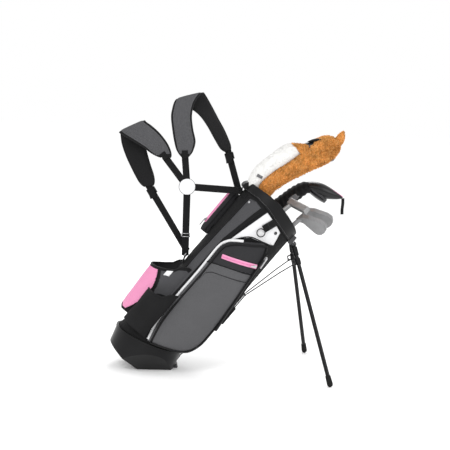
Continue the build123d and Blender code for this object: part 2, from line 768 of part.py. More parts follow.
# ------------------------------------------------------------------ straps
PAD_T = 9.0
WEB_T = 2.0
HUB_DISC = Vector(72.9, -8.0, 531.1)
PAD_LEFT = [
    ((7.4, -13.0, 612.8), (21.4, 0.0, -0.6)),
    ((-12.1, -15.0, 637.8), (25.1, 0.0, 11.0)),
    ((-33.6, -14.0, 659.5), (22.8, 0.0, 19.4)),
    ((-63.2, -9.0, 679.3), (29.0, 0.0, 19.6)),
    ((-83.1, -1.0, 690.5), (33.9, 0.0, 17.9)),
    ((-90.7, 10.0, 695.2), (34.9, 0.0, 18.0)),
    ((-89.6, 21.0, 687.3), (32.3, 0.0, 14.2)),
    ((-86.4, 27.0, 651.9), (30.7, 0.0, 7.0)),
    ((-75.7, 27.0, 617.8), (29.4, 0.0, 5.8)),
    ((-61.9, 25.0, 583.9), (26.6, 0.0, 5.4)),
    ((-47.9, 21.0, 553.6), (23.7, 0.0, 5.3)),
    ((-36.5, 17.0, 526.3), (18.6, 0.0, 3.0)),
]
PAD_RIGHT = [
    ((62.8, -13.0, 616.5), (12.8, 0.0, 0.5)),
    ((61.4, -14.0, 636.5), (22.9, 0.0, -0.5)),
    ((60.3, -15.0, 662.1), (29.3, 0.0, 0.4)),
    ((52.9, -14.0, 695.8), (28.4, 0.0, 1.2)),
    ((48.1, -12.0, 732.3), (28.3, 0.0, 2.7)),
    ((52.8, -7.0, 762.0), (29.6, 0.0, 7.0)),
    ((62.3, 2.0, 781.4), (33.8, 0.0, 10.0)),
    ((72.5, 12.0, 788.7), (35.3, 4.0, 10.7)),
    ((86.3, 22.0, 779.7), (29.6, 12.0, 13.3)),
    ((116.9, 30.0, 750.8), (19.1, 19.0, 11.7)),
    ((140.2, 33.0, 718.1), (17.0, 20.0, 8.8)),
    ((160.6, 33.0, 684.9), (17.1, 18.0, 8.0)),
    ((178.9, 31.0, 652.0), (14.8, 12.0, 7.0)),
    ((188.8, 30.0, 637.1), (12.0, 8.0, 4.8)),
]


def stations(rows):
    """Planes across a ribbon and its half width at each."""
    out = []
    pts = [Vector(*c) for c, w in rows]
    for i, (c, w) in enumerate(rows):
        t = (pts[min(i + 1, len(pts) - 1)] - pts[max(i - 1, 0)]).normalized()
        wv = Vector(*w)
        wn = wv.normalized()
        z = (t - wn * wn.dot(t)).normalized()
        out.append((Plane(origin=pts[i], x_dir=wn, z_dir=z), wv.length))
    return out


def web(a, b, half=10.0, wdir=None):
    """A straight flat band from a to b, as two stations."""
    d = (b - a).normalized()
    w = d.cross(Vector(0, 1, 0)).normalized() if wdir is None else Vector(*wdir).normalized()
    return [(Plane(origin=a, x_dir=w, z_dir=d), half), (Plane(origin=b, x_dir=w, z_dir=d), half)]


with BuildPart() as strap_pad_left:
    for pl, hw in stations(PAD_LEFT):
        with BuildSketch(pl):
            Rectangle(2 * hw, PAD_T)
    loft(ruled=True)
save(strap_pad_left, "strap_pad_left")

with BuildPart() as strap_pad_right:
    for pl, hw in stations(PAD_RIGHT):
        with BuildSketch(pl):
            Rectangle(2 * hw, PAD_T)
    loft(ruled=True)
save(strap_pad_right, "strap_pad_right")

with BuildPart() as strap_hub:
    with BuildSketch(Plane(origin=HUB_DISC + Vector(0, 4, 0), x_dir=(1, 0, 0), z_dir=(0, -1, 0))):
        Circle(23)
    extrude(amount=8)
    fillet(strap_hub.faces().sort_by(Axis.Y)[0].edges(), 2.5)
save(strap_hub, "strap_hub")

PL0, PR0 = Vector(*PAD_LEFT[0][0]), Vector(*PAD_RIGHT[0][0])
PL1, PR1 = Vector(*PAD_LEFT[-1][0]), Vector(*PAD_RIGHT[-1][0])
LOW_END = at(-149.0, -4.0, 316.0)
LOW_END_L = at(-149.0, 5.0, 322.0)
TOP_END = at(-148.5, -12.0, 550.0)
TOP_END_R = at(-149.0, 12.0, 555.0)


def gap(a, b, ga, gb):
    d = (b - a).normalized()
    return a + d * ga, b - d * gb


WEBS_UPPER = [gap(HUB_DISC, PL0, 23.5, 8.5), gap(HUB_DISC, PR0, 23.5, 1.5)]
WEBS_LOWER = [gap(HUB_DISC, LOW_END, 23.5, 0.0), gap(HUB_DISC, TOP_END, 23.5, 0.0)]
ADJ_L = gap(PL1, LOW_END_L, 6.0, 0.0)
ADJ_R = gap(PR1, TOP_END_R, 5.0, 0.0)


with BuildPart() as pad_webbing:
    for a, b in WEBS_UPPER:
        for pl, hw in web(a, b, 9.5):
            with BuildSketch(pl):
                Rectangle(2 * hw, WEB_T)
        loft(ruled=True)
save(pad_webbing, "pad_webbing")

with BuildPart() as hub_webbing:
    for a, b in WEBS_LOWER:
        for pl, hw in web(a, b, 10.0):
            with BuildSketch(pl):
                Rectangle(2 * hw, WEB_T)
        loft(ruled=True)
save(hub_webbing, "hub_webbing")

# adjusters: ladder buckles under the two pads' long ends
ADJ_LEN = 22.0
adj_rows = []
with BuildPart() as strap_adjusters:
    for a, b in (ADJ_L, ADJ_R):
        d = (b - a).normalized()
        p0, p1 = a + d * 0.5, a + d * (0.5 + ADJ_LEN)
        for pl, hw in web(p0, p1, 11.5):
            with BuildSketch(pl):
                Rectangle(2 * hw, 6.0)
        loft(ruled=True)
save(strap_adjusters, "strap_adjusters")

with BuildPart() as adjuster_webbing:
    for a, b in (ADJ_L, ADJ_R):
        d = (b - a).normalized()
        for pl, hw in web(a + d * (ADJ_LEN + 1.0), b, 9.5):
            with BuildSketch(pl):
                Rectangle(2 * hw, WEB_T)
        loft(ruled=True)
save(adjuster_webbing, "adjuster_webbing")

# anchors, sewn to the bag
with BuildPart() as lower_anchor:
    with BuildSketch(BAG.offset(286)):
        with Locations((-138.2, 0)):
            Rectangle(3.0, 24)
    extrude(amount=24)
    # plastic ring lying just over the tab's upper end
    with BuildSketch(Plane(origin=at(-139.7, 0, 306), x_dir=at(0, 0, 1), z_dir=at(-1, 0, 0))):
        RectangleRounded(12, 28, 4)
        RectangleRounded(6, 20, 2, mode=Mode.SUBTRACT)
    extrude(amount=3.2)
    add(tube_clear.part, mode=Mode.SUBTRACT)
save(lower_anchor, "lower_anchor")

with BuildPart() as top_anchor:
    with BuildSketch(BAG.offset(543.5)):
        with BuildLine():
            Polyline((-137.6, 0), (-135.4, 26), (-128, 44), (-110, 30), (-110, -30), (-124, -54), (-133.5, -32),
                     (-137.6, -10), close=True)
        make_face()
    extrude(amount=16)
    add(tube_clear.part, mode=Mode.SUBTRACT)
save(top_anchor, "top_anchor")

# ------------------------------------------------------------------- clubs
# each club: n where it crosses the mouth, slope, y, s of its butt end, length to the hosel
CLUBS = {
    "driver": (-90.0, 0.060, -18.0, -10.0),
    "hybrid": (-15.0, 0.190, 50.0, 12.0),
    "putter": (-15.0, 0.176, -40.0, -10.0),
    "long_iron": (44.0, 0.153, 8.0, -14.0),
    "short_iron": (38.0, 0.153, -33.0, -14.0),
}


def club_plane(name, dist=0.0):
    """Across a club at a distance from its butt: x towards the belly, z along the shaft."""
    n585, k, yy, sb = CLUBS[name]
    z = at(k, 0, 1).normalized()
    return Plane(origin=at(n585 + k * (sb - 585.0), yy, sb) + z * dist, x_dir=at(1, 0, -k), z_dir=z)


SHAFT_R = 4.5
L_DRIVER, L_HYBRID, L_PUTTER, L_LONG, L_SHORT = 782.0, 684.0, 632.0, 646.0, 618.0

with BuildPart() as driver_shaft:
    with BuildSketch(club_plane("driver", 3)):
        Circle(SHAFT_R)
    extrude(amount=L_DRIVER - 3)
save(driver_shaft, "driver_shaft")
with BuildPart() as hybrid_shaft:
    with BuildSketch(club_plane("hybrid", 3)):
        Circle(SHAFT_R)
    extrude(amount=L_HYBRID - 3)
save(hybrid_shaft, "hybrid_shaft")
with BuildPart() as putter_shaft:
    with BuildSketch(club_plane("putter", 3)):
        Circle(SHAFT_R)
    extrude(amount=L_PUTTER - 3)
save(putter_shaft, "putter_shaft")
with BuildPart() as long_iron_shaft:
    with BuildSketch(club_plane("long_iron", 3)):
        Circle(SHAFT_R)
    extrude(amount=L_LONG - 3)
save(long_iron_shaft, "long_iron_shaft")
with BuildPart() as short_iron_shaft:
    with BuildSketch(club_plane("short_iron", 3)):
        Circle(SHAFT_R)
    extrude(amount=L_SHORT - 3)
save(short_iron_shaft, "short_iron_shaft")

with BuildPart() as driver_grip:
    with BuildSketch(club_plane("driver", 0)):
        Circle(GRIP_R0)
    with BuildSketch(club_plane("driver", GRIP_L)):
        Circle(GRIP_R1)
    loft()
    with BuildSketch(club_plane("driver", 3)):
        Circle(SHAFT_R)
    extrude(amount=GRIP_L, mode=Mode.SUBTRACT)
save(driver_grip, "driver_grip")
with BuildPart() as hybrid_grip:
    with BuildSketch(club_plane("hybrid", 0)):
        Circle(GRIP_R0)
    with BuildSketch(club_plane("hybrid", GRIP_L)):
        Circle(GRIP_R1)
    loft()
    with BuildSketch(club_plane("hybrid", 3)):
        Circle(SHAFT_R)
    extrude(amount=GRIP_L, mode=Mode.SUBTRACT)
save(hybrid_grip, "hybrid_grip")
with BuildPart() as putter_grip:
    with BuildSketch(club_plane("putter", 0)):
        Circle(GRIP_R0 + 0.8)
    with BuildSketch(club_plane("putter", GRIP_L)):
        Circle(GRIP_R1 + 0.5)
    loft()
    with BuildSketch(club_plane("putter", 3)):
        Circle(SHAFT_R)
    extrude(amount=GRIP_L, mode=Mode.SUBTRACT)
save(putter_grip, "putter_grip")
with BuildPart() as long_iron_grip:
    with BuildSketch(club_plane("long_iron", 0)):
        Circle(GRIP_R0 - 0.5)
    with BuildSketch(club_plane("long_iron", GRIP_L)):
        Circle(GRIP_R1)
    loft()
    with BuildSketch(club_plane("long_iron", 3)):
        Circle(SHAFT_R)
    extrude(amount=GRIP_L, mode=Mode.SUBTRACT)
save(long_iron_grip, "long_iron_grip")
with BuildPart() as short_iron_grip:
    with BuildSketch(club_plane("short_iron", 0)):
        Circle(GRIP_R0 - 0.5)
    with BuildSketch(club_plane("short_iron", GRIP_L)):
        Circle(GRIP_R1)
    loft()
    with BuildSketch(club_plane("short_iron", 3)):
        Circle(SHAFT_R)
    extrude(amount=GRIP_L, mode=Mode.SUBTRACT)
save(short_iron_grip, "short_iron_grip")


def head_plane(name, length, lie, turn, loft_deg=0.0):
    """At the hosel: x from heel to toe, z across the blade's face."""
    pl = club_plane(name, length)
    z, x, y = pl.z_dir, pl.x_dir, pl.y_dir
    side = (x * cos(radians(turn)) + y * sin(radians(turn)))
    toe_dir = side * sin(radians(lie)) + z * cos(radians(lie))
    up = toe_dir.cross(side.cross(z)).normalized()
    face = toe_dir.cross(up)
    face = face * cos(radians(loft_deg)) + up * sin(radians(loft_deg))
    return Plane(origin=pl.origin, x_dir=toe_dir, z_dir=face)


# driver head, a rounded pear between heel and toe
DHP = head_plane("driver", L_DRIVER, 72.0, 0.0)
with BuildPart() as driver_head:
    for dx, ra, rb, off in ((-10, 9, 9, 0), (8, 24, 20, 8), (40, 29, 25, 14), (70, 24, 20, 12), (86, 9, 8, 8)):
        with BuildSketch(Plane(origin=DHP.origin + DHP.x_dir * dx + club_plane("driver").z_dir * off,
                               x_dir=club_plane("driver").y_dir, z_dir=DHP.x_dir)):
            Ellipse(ra, rb)
    loft()
    with BuildSketch(club_plane("driver", L_DRIVER - 26)):
        Circle(7)
    extrude(amount=30)
    with BuildSketch(club_plane("driver", L_DRIVER - 40)):
        Circle(SHAFT_R)
    extrude(amount=40, mode=Mode.SUBTRACT)
save(driver_head, "driver_head")

HHP = head_plane("hybrid", L_HYBRID, 78.0, 0.0)
with BuildPart() as hybrid_head:
    for dx, ra, rb, off in ((-9, 8, 8, 2), (8, 18, 13, 8), (36, 22, 15, 9), (62, 18, 12, 8), (76, 8, 7, 6)):
        with BuildSketch(Plane(origin=HHP.origin + HHP.x_dir * dx + club_plane("hybrid").z_dir * off,
                               x_dir=club_plane("hybrid").y_dir, z_dir=HHP.x_dir)):
            Ellipse(ra, rb)
    loft()
    with BuildSketch(club_plane("hybrid", L_HYBRID - 24)):
        Circle(6.8)
    extrude(amount=30)
    with BuildSketch(club_plane("hybrid", L_HYBRID - 40)):
        Circle(SHAFT_R)
    extrude(amount=40, mode=Mode.SUBTRACT)
save(hybrid_head, "hybrid_head")


def iron_outline():
    return [(-6, -4), (10, -11), (60, -13), (78, -6), (84, 10), (82, 30), (72, 36), (50, 30), (14, 12), (0, 9)]


def iron_planes(name, length):
    """Face plane of an iron (x heel to toe, y sole to topline, z to the back) and its cross section."""
    pl = club_plane(name, length)
    x = head_plane(name, length, 63.0, 0.0).x_dir
    up = pl.y_dir * sin(radians(40)) - pl.z_dir * cos(radians(40))
    up = (up - x * up.dot(x)).normalized()
    org = pl.origin + pl.z_dir * 6
    z = x.cross(up)
    face = Plane(origin=org - z * 5.0, x_dir=x, z_dir=z)
    return face, Plane(origin=org - z * 5.0, x_dir=up, z_dir=x)


def iron_outline():
    return [(-7, -2), (2, -14), (18, -20), (58, -22), (74, -17), (82, -6), (83, 10), (79, 24), (70, 30), (58, 27),
            (14, 6), (2, 7), (-5, 5)]


def iron_cavity():
    return [(18, -10), (60, -12), (70, -8), (74, 4), (71, 16), (62, 18), (20, -1)]


LIF, LIS = iron_planes("long_iron", L_LONG)
with BuildPart() as long_iron_head:
    with BuildSketch(LIF):
        with BuildLine():
            Polyline(*iron_outline(), close=True)
        make_face()
    extrude(amount=14)
    fillet([e for e in long_iron_head.edges() if abs((e @ 1 - e @ 0).normalized().dot(LIF.z_dir)) > 0.99], 3.0)
    with BuildSketch(LIS.offset(-40)):
        with BuildLine():
            Polyline((-22, 14.0), (-12, 12.5), (4, 5.6), (40, 3.4), (40, 30), (-30, 30), (-30, 14.0), close=True)
        make_face()
    extrude(amount=160, mode=Mode.SUBTRACT)
    with BuildSketch(LIF.offset(3.2)):
        with BuildLine():
            Polyline(*iron_cavity(), close=True)
        make_face()
    extrude(amount=14, mode=Mode.SUBTRACT)
    with BuildSketch(club_plane("long_iron", L_LONG - 30)):
        Circle(6.3)
    extrude(amount=42)
    with BuildSketch(club_plane("long_iron", L_LONG - 60)):
        Circle(SHAFT_R)
    extrude(amount=60, mode=Mode.SUBTRACT)
save(long_iron_head, "long_iron_head")

SIF, SIS = iron_planes("short_iron", L_SHORT)
with BuildPart() as short_iron_head:
    with BuildSketch(SIF):
        with BuildLine():
            Polyline(*iron_outline(), close=True)
        make_face()
    extrude(amount=14)
    fillet([e for e in short_iron_head.edges() if abs((e @ 1 - e @ 0).normalized().dot(SIF.z_dir)) > 0.99], 3.0)
    with BuildSketch(SIS.offset(-40)):
        with BuildLine():
            Polyline((-22, 14.0), (-12, 12.5), (4, 5.6), (40, 3.4), (40, 30), (-30, 30), (-30, 14.0), close=True)
        make_face()
    extrude(amount=160, mode=Mode.SUBTRACT)
    with BuildSketch(SIF.offset(3.2)):
        with BuildLine():
            Polyline(*iron_cavity(), close=True)
        make_face()
    extrude(amount=14, mode=Mode.SUBTRACT)
    with BuildSketch(club_plane("short_iron", L_SHORT - 30)):
        Circle(6.3)
    extrude(amount=42)
    with BuildSketch(club_plane("short_iron", L_SHORT - 60)):
        Circle(SHAFT_R)
    extrude(amount=60, mode=Mode.SUBTRACT)
save(short_iron_head, "short_iron_head")

PTP = head_plane("putter", L_PUTTER, 76.0, -58.0)
pt = club_plane("putter", L_PUTTER)
with BuildPart() as putter_head:
    with BuildSketch(Plane(origin=pt.origin + pt.z_dir * 4 - PTP.x_dir * 10, x_dir=pt.z_dir, z_dir=PTP.x_dir)):
        with Locations((8, 0)):
            RectangleRounded(22, 15, 4)
    extrude(amount=78)
    fillet(putter_head.faces().sort_by(lambda f: f.center().dot(PTP.x_dir))[-1].edges(), 3)
    with BuildSketch(club_plane("putter", L_PUTTER - 24)):
        Circle(6.3)
    extrude(amount=30)
    with BuildSketch(club_plane("putter", L_PUTTER - 60)):
        Circle(SHAFT_R)
    extrude(amount=60, mode=Mode.SUBTRACT)
save(putter_head, "putter_head")

# ------------------------------------------------------------- head covers
dz = club_plane("driver").z_dir
hz = club_plane("hybrid").z_dir
with BuildPart() as driver_cover:
    with BuildSketch(SIDE.offset(-20)):
        with BuildLine():
            Spline((-84, 604), (-120, 606), (-150, 606), (-156, 624), (-140, 683), (-128, 727), (-116, 752), (-90, 781),
                   (-58, 815), (-34, 858), (-22, 877), (-8, 850), (-2, 825), (8, 789), (-8, 737), (-30, 703),
                   (-46, 668), (-58, 646), (-64, 616), (-84, 604))
        make_face()
    extrude(amount=78)
    with BuildSketch(Plane(origin=club_plane("driver").origin, x_dir=club_plane("driver").x_dir, z_dir=dz).offset(560)):
        with Locations((41, 0)):
            Rectangle(124, 66)
    extrude(amount=L_DRIVER + 58 - 560, mode=Mode.SUBTRACT)
save(driver_cover, "driver_cover")

with BuildPart() as hybrid_cover:
    with BuildSketch(SIDE.offset(-78)):
        with BuildLine():
            Polyline((-36, 604), (-22, 650), (-4, 696), (10, 712), (32, 722), (76, 735), (104, 738), (114, 730),
                     (108, 716), (74, 702), (26, 686), (14, 650), (2, 604), close=True)
        make_face()
    extrude(amount=54)
    with BuildSketch(club_plane("hybrid", 560)):
        with Locations((38, 0)):
            Rectangle(104, 46)
    extrude(amount=L_HYBRID + 38 - 560, mode=Mode.SUBTRACT)
save(hybrid_cover, "hybrid_cover")

# loose pull tab at the tip of the hybrid's cover
with BuildPart() as cover_tag:
    with Locations((538.9, 50, 484)):
        Box(2.2, 12, 50)
save(cover_tag, "cover_tag")

print("fold near %.3f far %.3f" % (fold_deg[-1], fold_deg[1]))
for nm, v in (("hinge near", hinge[-1]), ("hinge far", hinge[1]), ("hub near", hub[-1]), ("hub far", hub[1]),
              ("rod top near", rod_top[-1]), ("rod top far", rod_top[1]), ("eye near", EYE[-1]), ("eye far", EYE[1]),
              ("zip axis", pz_axis), ("zip centre", pz_cen), ("side zip dir", sz_dir), ("ring pivot", RING_P)):
    print(nm, [round(q, 5) for q in (v.X, v.Y, v.Z)])
print("side zip length", sz_len, "zip half angle", PZ_HALF, "sign", PZ_SIGN)
for nm in CLUBS:
    v = club_plane(nm).z_dir
    print(nm, [round(q, 5) for q in (v.X, v.Y, v.Z)])
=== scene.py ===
import math
import bpy, bmesh
import numpy as np
from mathutils import Vector, Matrix


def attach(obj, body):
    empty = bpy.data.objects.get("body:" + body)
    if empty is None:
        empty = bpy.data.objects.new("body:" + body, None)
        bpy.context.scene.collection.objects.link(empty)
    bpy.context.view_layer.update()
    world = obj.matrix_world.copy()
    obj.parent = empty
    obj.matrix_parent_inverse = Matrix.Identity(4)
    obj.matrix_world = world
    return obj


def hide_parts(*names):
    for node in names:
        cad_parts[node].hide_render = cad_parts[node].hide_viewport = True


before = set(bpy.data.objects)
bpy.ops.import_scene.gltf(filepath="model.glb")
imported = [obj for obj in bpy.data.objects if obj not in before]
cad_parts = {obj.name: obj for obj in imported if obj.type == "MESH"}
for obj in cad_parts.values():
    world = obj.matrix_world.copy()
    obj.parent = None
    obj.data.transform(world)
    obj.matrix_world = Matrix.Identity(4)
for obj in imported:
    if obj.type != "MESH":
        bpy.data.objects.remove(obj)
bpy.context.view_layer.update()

LEAN = math.radians(52.3)
CU, SU = math.cos(LEAN), math.sin(LEAN)
NC = -37.0
rng = np.random.default_rng(7)


def at(n, y, s):
    """Bag coordinates in millimetres to row metres."""
    return np.array([s * CU + n * SU, y, s * SU - n * CU]) / 1000.0


def mm(p):
    return np.array(p, float) / 1000.0


def unit(v):
    v = np.array(v, float)
    return v / max(np.linalg.norm(v), 1e-12)


# ------------------------------------------------------------- materials
def lin(c):
    return tuple((x / 12.92 if x <= 0.04045 else ((x + 0.055) / 1.055) ** 2.4) for x in [v / 255 for v in c])


MATS = {}


def material(name, rgb, rough=0.6, kind="plain", scale=1.0, bump=0.3, vary=0.12, metal=0.0, coat=0.0, sheen=0.0, spec=0.5):
    if name in MATS:
        return MATS[name]
    m = bpy.data.materials.new(name)
    m.use_nodes = True
    nt = m.node_tree
    N, L = nt.nodes, nt.links
    b = N["Principled BSDF"]
    b.inputs["Roughness"].default_value = rough
    b.inputs["Metallic"].default_value = metal
    b.inputs["Coat Weight"].default_value = coat
    b.inputs["Coat Roughness"].default_value = 0.12
    b.inputs["Sheen Weight"].default_value = sheen * 0.3
    b.inputs["Sheen Roughness"].default_value = 0.5
    b.inputs["Specular IOR Level"].default_value = spec
    base = tuple(rgb) + (1.0,)
    dark = tuple(x * (1 - vary) for x in rgb) + (1.0,)
    light = tuple(min(1.0, x * (1 + vary)) for x in rgb) + (1.0,)
    tc = N.new("ShaderNodeTexCoord")
    co = tc.outputs["Object"]

    def noise(sc, detail=3.0, rough_=0.55):
        n = N.new("ShaderNodeTexNoise")
        n.inputs["Scale"].default_value = sc
        n.inputs["Detail"].default_value = detail
        n.inputs["Roughness"].default_value = rough_
        L.new(co, n.inputs["Vector"])
        return n

    def rot(angle, sc):
        mp = N.new("ShaderNodeMapping")
        mp.inputs["Rotation"].default_value = (0, angle, 0)
        mp.inputs["Scale"].default_value = sc
        L.new(co, mp.inputs["Vector"])
        return mp

    def wave(sc, angle, axis="X", dist=0.4):
        mp = rot(angle, (1, 1, 1))
        w = N.new("ShaderNodeTexWave")
        w.bands_direction = axis
        w.inputs["Scale"].default_value = sc
        w.inputs["Distortion"].default_value = dist
        w.inputs["Detail"].default_value = 1.0
        w.inputs["Detail Scale"].default_value = 2.0
        L.new(mp.outputs["Vector"], w.inputs["Vector"])
        return w

    def mix(a, c, op="ADD"):
        n = N.new("ShaderNodeMath")
        n.operation = op
        L.new(a, n.inputs[0])
        L.new(c, n.inputs[1])
        return n.outputs[0]

    big = noise(16.0, 4.0)
    ramp = N.new("ShaderNodeValToRGB")
    ramp.color_ramp.elements[0].position = 0.32
    ramp.color_ramp.elements[1].position = 0.68
    ramp.color_ramp.elements[0].color = dark
    ramp.color_ramp.elements[1].color = light
    height = None
    if kind == "weave":
        w1 = wave(260.0 * scale, LEAN, "X", 0.25)
        w2 = wave(260.0 * scale, LEAN, "Z", 0.25)
        w3 = wave(200.0 * scale, LEAN, "Y", 0.25)
        fine = noise(900.0 * scale, 2.0)
        mul = mix(mix(w1.outputs["Fac"], w2.outputs["Fac"], "MULTIPLY"), w3.outputs["Fac"], "ADD")
        height = mix(mul, fine.outputs["Fac"], "ADD")
        blend = mix(mix(big.outputs["Fac"], fine.outputs["Fac"], "ADD"), w1.outputs["Fac"], "MULTIPLY")
        half = N.new("ShaderNodeMath"); half.operation = "MULTIPLY"; half.inputs[1].default_value = 0.9
        L.new(blend, half.inputs[0])
        L.new(half.outputs[0], ramp.inputs["Fac"])
    elif kind == "heather":
        f1 = noise(420.0 * scale, 6.0, 0.8)
        f2 = noise(1100.0 * scale, 3.0, 0.7)
        s = mix(f1.outputs["Fac"], f2.outputs["Fac"], "ADD")
        half = N.new("ShaderNodeMath"); half.operation = "MULTIPLY"; half.inputs[1].default_value = 0.5
        L.new(s, half.inputs[0])
        L.new(half.outputs[0], ramp.inputs["Fac"])
        ramp.color_ramp.elements[0].position = 0.40
        ramp.color_ramp.elements[1].position = 0.60
        height = s
    elif kind == "ribbed":
        w1 = wave(330.0 * scale, LEAN, "X", 0.1)
        w2 = wave(330.0 * scale, LEAN, "Z", 0.1)
        fine = noise(1200.0, 2.0)
        height = mix(mix(w1.outputs["Fac"], w2.outputs["Fac"], "ADD"), fine.outputs["Fac"], "ADD")
        L.new(big.outputs["Fac"], ramp.inputs["Fac"])
    elif kind == "mesh":
        v = N.new("ShaderNodeTexVoronoi")
        v.inputs["Scale"].default_value = 330.0 * scale
        v.feature = "DISTANCE_TO_EDGE"
        L.new(co, v.inputs["Vector"])
        height = v.outputs["Distance"]
        L.new(big.outputs["Fac"], ramp.inputs["Fac"])
    elif kind == "fur":
        mp = rot(LEAN, (1.0, 1.0, 0.25))
        f1 = N.new("ShaderNodeTexNoise")
        f1.inputs["Scale"].default_value = 300.0
        f1.inputs["Detail"].default_value = 4.0
        L.new(mp.outputs["Vector"], f1.inputs["Vector"])
        f2 = noise(40.0, 4.0)
        s = mix(f1.outputs["Fac"], f2.outputs["Fac"], "ADD")
        half = N.new("ShaderNodeMath"); half.operation = "MULTIPLY"; half.inputs[1].default_value = 0.5
        L.new(s, half.inputs[0])
        L.new(half.outputs[0], ramp.inputs["Fac"])
        ramp.color_ramp.elements[0].position = 0.36
        ramp.color_ramp.elements[1].position = 0.62
        height = f1.outputs["Fac"]
    elif kind == "brushed":
        mp = rot(0.3, (1.0, 1.0, 18.0))
        f1 = N.new("ShaderNodeTexNoise")
        f1.inputs["Scale"].default_value = 60.0
        f1.inputs["Detail"].default_value = 3.0
        L.new(mp.outputs["Vector"], f1.inputs["Vector"])
        L.new(f1.outputs["Fac"], ramp.inputs["Fac"])
        height = f1.outputs["Fac"]
        rr = N.new("ShaderNodeMapRange")
        rr.inputs["To Min"].default_value = rough * 0.75
        rr.inputs["To Max"].default_value = min(1.0, rough * 1.3)
        L.new(f1.outputs["Fac"], rr.inputs["Value"])
        L.new(rr.outputs["Result"], b.inputs["Roughness"])
    elif kind == "grooved":
        mp = N.new("ShaderNodeMapping")
        mp.inputs["Rotation"].default_value = (0, 0.36, 0)
        L.new(co, mp.inputs["Vector"])
        w = N.new("ShaderNodeTexWave")
        w.bands_direction = "X"
        w.inputs["Scale"].default_value = 42.0
        w.inputs["Distortion"].default_value = 0.0
        L.new(mp.outputs["Vector"], w.inputs["Vector"])
        L.new(big.outputs["Fac"], ramp.inputs["Fac"])
        height = w.outputs["Fac"]
    else:
        f1 = noise(700.0 * scale, 3.0)
        L.new(big.outputs["Fac"], ramp.inputs["Fac"])
        height = f1.outputs["Fac"]
        rr = N.new("ShaderNodeMapRange")
        rr.inputs["To Min"].default_value = rough * 0.85
        rr.inputs["To Max"].default_value = min(1.0, rough * 1.2)
        L.new(big.outputs["Fac"], rr.inputs["Value"])
        L.new(rr.outputs["Result"], b.inputs["Roughness"])
    L.new(ramp.outputs["Color"], b.inputs["Base Color"])
    bp = N.new("ShaderNodeBump")
    bp.inputs["Strength"].default_value = bump
    bp.inputs["Distance"].default_value = 0.0006
    L.new(height, bp.inputs["Height"])
    L.new(bp.outputs["Normal"], b.inputs["Normal"])
    MATS[name] = m
    return m


CHAR = material("charcoal_nylon", (0.088, 0.088, 0.092), 0.78, "weave", vary=0.22, bump=0.35, spec=0.15)
DARKC = material("dark_nylon", (0.026, 0.026, 0.028), 0.75, "weave", vary=0.22, bump=0.35, spec=0.15)
BLACKF = material("black_nylon", (0.0075, 0.0075, 0.008), 0.72, "weave", vary=0.25, bump=0.4, spec=0.16)
BLACKP = material("black_piping", (0.006, 0.006, 0.0065), 0.55, "ribbed", vary=0.2, bump=0.3, spec=0.18)
HEATH = material("heather_grey", (0.070, 0.070, 0.074), 0.82, "heather", vary=0.45, bump=0.4, spec=0.15)
GREYF = material("grey_nylon", (0.062, 0.062, 0.066), 0.75, "weave", vary=0.2, bump=0.35, spec=0.15)
WHITE = material("white_coated", (0.70, 0.70, 0.71), 0.55, "weave", vary=0.03, bump=0.2, spec=0.2)
PINK = material("pink_nylon", (0.72, 0.27, 0.45), 0.66, "weave", vary=0.12, bump=0.4, spec=0.15)
PINKZ = material("pink_zip_tape", (0.74, 0.29, 0.47), 0.6, "ribbed", vary=0.08, bump=0.4, spec=0.15)
PINKT = material("pink_zip_coil", (0.72, 0.20, 0.42), 0.4, "plain", vary=0.08, bump=0.2)
BLKT = material("black_zip_coil", (0.02, 0.02, 0.02), 0.35, "plain", vary=0.1)
WEB = material("black_webbing", (0.007, 0.007, 0.0075), 0.68, "ribbed", vary=0.2, bump=0.6, spec=0.16)
MESHM = material("black_knit_mesh", (0.006, 0.006, 0.0065), 0.75, "mesh", vary=0.3, bump=0.9, spec=0.2)
BLKPL = material("black_moulded", (0.006, 0.006, 0.0065), 0.45, "plain", vary=0.2, bump=0.12, spec=0.16)
CUPPL = material("black_base_gloss", (0.007, 0.007, 0.0075), 0.30, "plain", vary=0.2, bump=0.05, coat=0.0, spec=0.16)
GREYPL = material("grey_moulded", (0.05, 0.05, 0.053), 0.45, "plain", vary=0.12, bump=0.1, spec=0.25)
WHTPL = material("white_gloss_plastic", (0.72, 0.72, 0.73), 0.3, "plain", vary=0.02, bump=0.03, spec=0.3)
LEG = material("black_gloss_tube", (0.005, 0.005, 0.0055), 0.22, "brushed", vary=0.2, bump=0.03, coat=0.0, spec=0.22)
WIRE = material("black_wire", (0.008, 0.008, 0.0085), 0.35, "plain", vary=0.2, bump=0.05, spec=0.3)
STEEL = material("satin_steel", (0.50, 0.50, 0.51), 0.3, "brushed", vary=0.12, bump=0.08, metal=1.0)
CLUB = material("club_satin_steel", (0.26, 0.26, 0.262), 0.42, "brushed", vary=0.18, bump=0.15, metal=0.6, spec=0.3)
FACE = material("club_face_steel", (0.24, 0.24, 0.243), 0.45, "grooved", vary=0.15, bump=0.5, metal=0.55, spec=0.3)
SHAFT = material("grey_shaft", (0.20, 0.20, 0.205), 0.3, "brushed", vary=0.08, bump=0.03, metal=0.5, coat=0.3)
GRIP = material("rubber_grip", (0.009, 0.009, 0.009), 0.8, "mesh", vary=0.2, bump=0.6, spec=0.2)
FOOT = material("rubber_foot", (0.008, 0.008, 0.008), 0.8, "plain", vary=0.2, bump=0.3, spec=0.2)
FUR = material("brown_plush", (0.62, 0.27, 0.065), 0.85, "fur", vary=0.35, bump=0.6, spec=0.15)
FURD = material("dark_brown_plush", (0.42, 0.155, 0.035), 0.85, "fur", vary=0.35, bump=0.6, spec=0.15)
WFUR = material("white_plush", (0.76, 0.755, 0.74), 0.85, "fur", vary=0.03, bump=0.3, spec=0.15)
